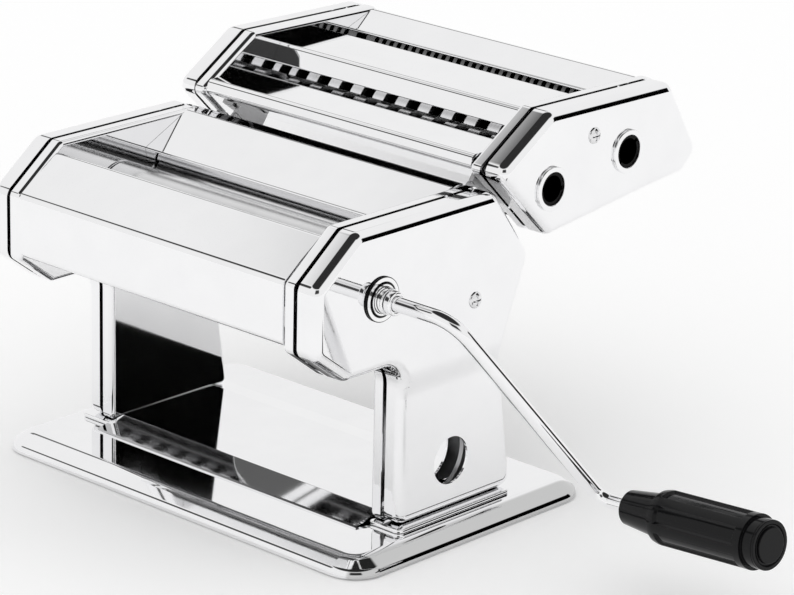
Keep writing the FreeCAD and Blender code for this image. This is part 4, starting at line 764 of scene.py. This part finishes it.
# The grip is a glossy black moulding that turns on the rod: a tapered neck, a belly with long flats
# pressed into it, and a cap with a sunk rim. It turns on a loose washer.
black_gloss = plastic("black_gloss", (0.006, 0.006, 0.0065), 0.1, 0.06, speck=0.002, roll=0.03,
                      sheen=0.16)
grip_slope = atan2(drop - tip_drop, tip_x - drop_x)
grip_place = crank_place @ Matrix.Translation(lower * mm) @ Matrix.Rotation(-grip_slope, 4, "Y")
washer_from, washer_to, washer_radius = 14.4, 15.6, 5.5
washer = ring("washer", rod_radius + slack, washer_radius, washer_from, washer_to, edge=0.3)
chromed(placed(washer, grip_place), "crank", "grip_washer")

grip_start, shoulder_at, belly_end, tail_end, cap_end = 16.0, 34.0, 82.0, 87.0, 89.0
grip_bore, neck, shoulder, belly_edge, belly, tail, cap_disc = 3.3, 7.0, 9.0, 10.6, 11.0, 9.8, 7.0
flat_from, flat_to, flat_lip, flats = shoulder_at + 3.5, belly_end - 3.5, 1.5, 6
flat_border, flat_depth = 0.8, 1.1
sleeve = turned("grip_sleeve", [
    (grip_start, grip_bore), (grip_start, neck), (shoulder_at, shoulder), (shoulder_at, belly_edge),
    (flat_from - flat_lip, belly), (flat_from, belly), (flat_to, belly),
    (flat_to + flat_lip, belly), (belly_end, belly), (belly_end, tail), (tail_end, tail)], sides=72)


def in_groove(low, high, count, margin, y=0.0, z=0.0):
    """A test: is the face between two places along X, and in one of the grooves round a piece?

    The margin is the share of each groove's room that is left at either side of it."""
    def test(points):
        middle = sum(points, Vector()) / len(points)
        turn = (atan2(middle.y - y, middle.z - z) * count / (2 * pi)) % 1
        inside = all(low - touch < point.x < high + touch for point in points)
        return inside and margin < turn < 1 - margin
    return test


pick(sleeve, "FACE", in_groove(flat_from, flat_to, flats, margin=0.2))
bpy.ops.mesh.inset(thickness=flat_border * mm, depth=-flat_depth * mm, use_boundary=True)
sleeve = shaded(softened(sleeve, width=0.5, angle=25), crease=30)
fitted(placed(sleeve, grip_place), black_gloss, "grip", "grip")
lip_at, lip_radius, sunk_at, sunk_radius = tail_end + 1.2, 8.2, tail_end + 0.6, 8.0
cap = turned("grip_end", [
    (tail_end, tail), (lip_at, tail), (lip_at, lip_radius), (sunk_at, sunk_radius),
    (sunk_at, cap_disc), (cap_end, cap_disc)], sides=72)
cap = placed(shaded(softened(cap, width=0.3)), grip_place)
fitted(cap, black_gloss, "grip", "grip_cap")


# The thickness dial on the left: a pale disc with its numbers on the cover, and a black knob with
# finger grooves that is pulled out and turned. Behind it are the scroll cam and its spring.
scale_face, scale_radius, knob_in, knob_face, knob_radius = -93.8, 22.0, -95.5, -111.5, 18.0
pale_disc = plastic("pale_disc", (0.72, 0.72, 0.71), 0.3, 0.08, speck=0.004)
number_ink = plastic("number_ink", (0.03, 0.03, 0.03), 0.4, 0.05)
plate = ring("number_disc", cam_shaft + 0.2, scale_radius, scale_face, -cheek_face, edge=0.2,
             y=rear_axis, z=axis_z)
plate.data.materials.append(pale_disc)
plate.data.materials.append(number_ink)
steps, number_size, number_at, number_high, number_proud = 7, 3.0, 20.0, 0.03, 0.02
first_at, dial_sweep = 90, 270
upright = Matrix(((0, 0, -1), (-1, 0, 0), (0, 1, 0))).to_4x4()
digits = []
for number in range(steps):
    angle = radians(first_at - number * dial_sweep / (steps - 1))
    place = Vector((scale_face - number_proud, rear_axis - number_at * cos(angle),
                    axis_z + number_at * sin(angle)))
    bpy.ops.object.text_add()
    digit = bpy.context.object
    digit.data.body = str(number + 1)
    digit.data.size = number_size * mm
    digit.data.extrude = number_high * mm
    digit.data.align_x, digit.data.align_y = "CENTER", "CENTER"
    only(digit)
    bpy.ops.object.convert(target="MESH")
    digit = start("digit")
    tidy_normals()
    turned_to = Matrix.Rotation(angle - pi / 2, 4, "X")
    placed(digit, Matrix.Translation(place * mm) @ turned_to @ upright)
    digit.data.materials.clear()
    digit.data.materials.append(pale_disc)
    digit.data.materials.append(number_ink)
    for polygon in digit.data.polygons:
        polygon.material_index = 1
    digits.append(digit)
joined(plate, *digits)
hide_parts("dial_plate")
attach(plate, "frame")

grooves, grooves_from, grooves_to = 18, knob_face + 2, knob_in - 3
groove_border, groove_depth = 0.15, 0.9
dish_floor, dish_middle = knob_face + 1.2, 0.5
face_edge, dish_edge, dish_foot = knob_radius - 1.5, knob_radius - 5, knob_radius - 6.5
knob = turned("knob_shell", [
    (knob_in, cam_shaft), (knob_in, knob_radius), (grooves_to, knob_radius),
    (grooves_from, knob_radius), (knob_face, face_edge), (knob_face, dish_edge),
    (dish_floor, dish_foot), (dish_floor, dish_middle)],
    rear_axis, axis_z, sides=grooves * 6)
pick(knob, "FACE", in_groove(grooves_from, grooves_to, grooves, margin=0.34, y=rear_axis, z=axis_z))
bpy.ops.mesh.inset(thickness=groove_border * mm, depth=-groove_depth * mm, use_boundary=True)
knob = shaded(softened(knob, width=0.35, segments=2, angle=30))
fitted(knob, black_gloss, "knob", "dial_knob")
finish_nodes(plate_steel, "dial_cam", "dial_spring")


# The cutter head is built as the body is, with a cheek at each end over a steel plate. Its two
# tongues drop into the guides on the body's rear slant.
crown_y, crown_z = 19.8, 138.6
head_outline = [
    (crown_y + y, crown_z + z, r) for y, z, r in (
        (0.4, 6.4, 3), (32.2, -25.6, 5), (96.2, -18.1, 3), (117.2, -16.1, 3), (126.7, -7.6, 3),
        (107.2, 24.9, 3), (31.7, 26.4, 3))]
wide_axis, narrow_axis = (crown_y + 32.3, crown_z - 5.0), (crown_y + 79.3, crown_z + 1.2)
wide_spacing, narrow_spacing, cutter_hole = 16.9, 16.4, 6.0
for word, side in (("right", 1), ("left", -1)):
    cheek = pressed("head_cheek_" + word, head_outline, side * plate_out, side * cheek_face,
                    outer_rim)
    inner = pressed("head_inner_" + word, head_outline, side * plate_in, side * inner_face,
                    inner_rim)
    if side > 0:
        drilled(cheek, [drill(boss_spigot, side, through_cheek, *wide_axis),
                        drill(boss_spigot, side, through_cheek, *narrow_axis)])
    pairs = (wide_axis, wide_spacing), (narrow_axis, narrow_spacing)
    drilled(inner, [drill(cutter_hole, side, through_inner, y + gap, z)
                    for (y, z), spacing in pairs for gap in (0, spacing)])
    chromed(shaded(cheek), "cutter_head", "cutter_cheek_" + word)
    chromed(shaded(inner), "cutter_head", "cutter_inner_cover_" + word)

head_screw_at = (crown_y + 57.9, crown_z + 12)
head_screws = joined(cross_screw("head_screws", cheek_face, *head_screw_at),
                     cross_screw("head_screw_left", -cheek_face, *head_screw_at))
fitted(head_screws, screw_steel, "cutter_head", "cutter_screws")

socket_face = 94.2
rings = [ring("socket_ring_" + name, cup_radius + slack, boss_radius, cheek_face, socket_face,
              edge=0.35, y=y, z=z, spigot=spigot_end)
         for name, (y, z) in (("wide", wide_axis), ("narrow", narrow_axis))]
chromed(joined(*rings), "cutter_head", "socket_rings")

head_front = [(27, -18.4, 0), (3, 5.7, 2.5), (4.2, 10.9, 2.5), (27.7, 10.9, 1.2), (27.7, 6, 0)]
head_middle = [(43.5, 7.5, 0), (42.7, 11.9, 1.2), (46.8, 19.4, 2.5), (78.4, 19.4, 1.2),
               (78.4, 14, 0)]
head_rear = [(90.5, 13, 0), (89.2, 18.4, 1.2), (104, 23.9, 0), (106, 23.9, 0), (125.2, -8.2, 2.5),
             (119, -14, 0)]
for name, path, out, node in (("head_front", head_front, (0, -1, -1), "cutter_front_panel"),
                              ("head_middle", head_middle, (0, -1, 0), "cutter_middle_panel"),
                              ("head_rear", head_rear, (0, -1, 0), "cutter_rear_panel")):
    panel = folded(name, path, panel_end, out, moved=(crown_y, crown_z))
    chromed(shaded(panel), "cutter_head", node)

# The cutter plates and tongues take the same painted dark steel, and its rods and strippers the
# darker one, as shade.
finish_nodes(plate_steel, "cutter_frame_right", "cutter_frame_left", "head_tongues")
finish_nodes(inner_steel_painted_dark, "cutter_tie_rods", "cutter_strippers")


# The four cutter rollers are ringed steel, ground bright on their rings; the grooves and the
# sockets at their ends are painted dark, as shade.
def ringed(name, pitch_y, pitch_z, spacing, ring_radius, groove_depth, shade):
    """Roller steel painted dark as shade below its rings, whichever of the pair a point lies on."""
    dark, sockets_from, ring_edge, cloud_scale, mark_scale = 0.006, 87, 0.2, 60, 900
    finish = Finish(name)
    first, second = (
        finish.rise(reach(finish, middle, pitch_z),
                    (ring_radius - groove_depth) * mm, (ring_radius - ring_edge) * mm)
        for middle in (pitch_y, pitch_y + spacing))
    on_first = coordinate(finish, 1).below((pitch_y + spacing / 2) * mm)
    outside_sockets = coordinate(finish, 0).below(sockets_from * mm)
    # Painted shade: the colour goes dark in the grooves and past the socket ends along X.
    lit = (first * on_first + second * (1 - on_first)) * outside_sockets
    tint = blend(finish, lit, (dark, dark, dark, 1), (*shade, 1))
    rough = grain(finish, cloud_scale, 3) * 0.08 + 0.2 - lit * 0.04
    marks = grain(finish, mark_scale, 2, (1, 0.1, 0.1)) * 0.006
    return skin(finish, tint, rough, marks, Metallic=1.0)


wide_steel_painted_shade = ringed("wide_cutter_steel_painted_shade", *wide_axis, wide_spacing, ring_radius=10.5,
                    groove_depth=3.0, shade=(0.95, 0.95, 0.96))
narrow_steel_painted_shade = ringed("narrow_cutter_steel_painted_shade", *narrow_axis, narrow_spacing, ring_radius=9.6,
                      groove_depth=2.4, shade=(0.2, 0.2, 0.2))
finish_nodes(wide_steel_painted_shade, "wide_driven_roller", "wide_idle_roller")
finish_nodes(narrow_steel_painted_shade, "narrow_driven_roller", "narrow_idle_roller")
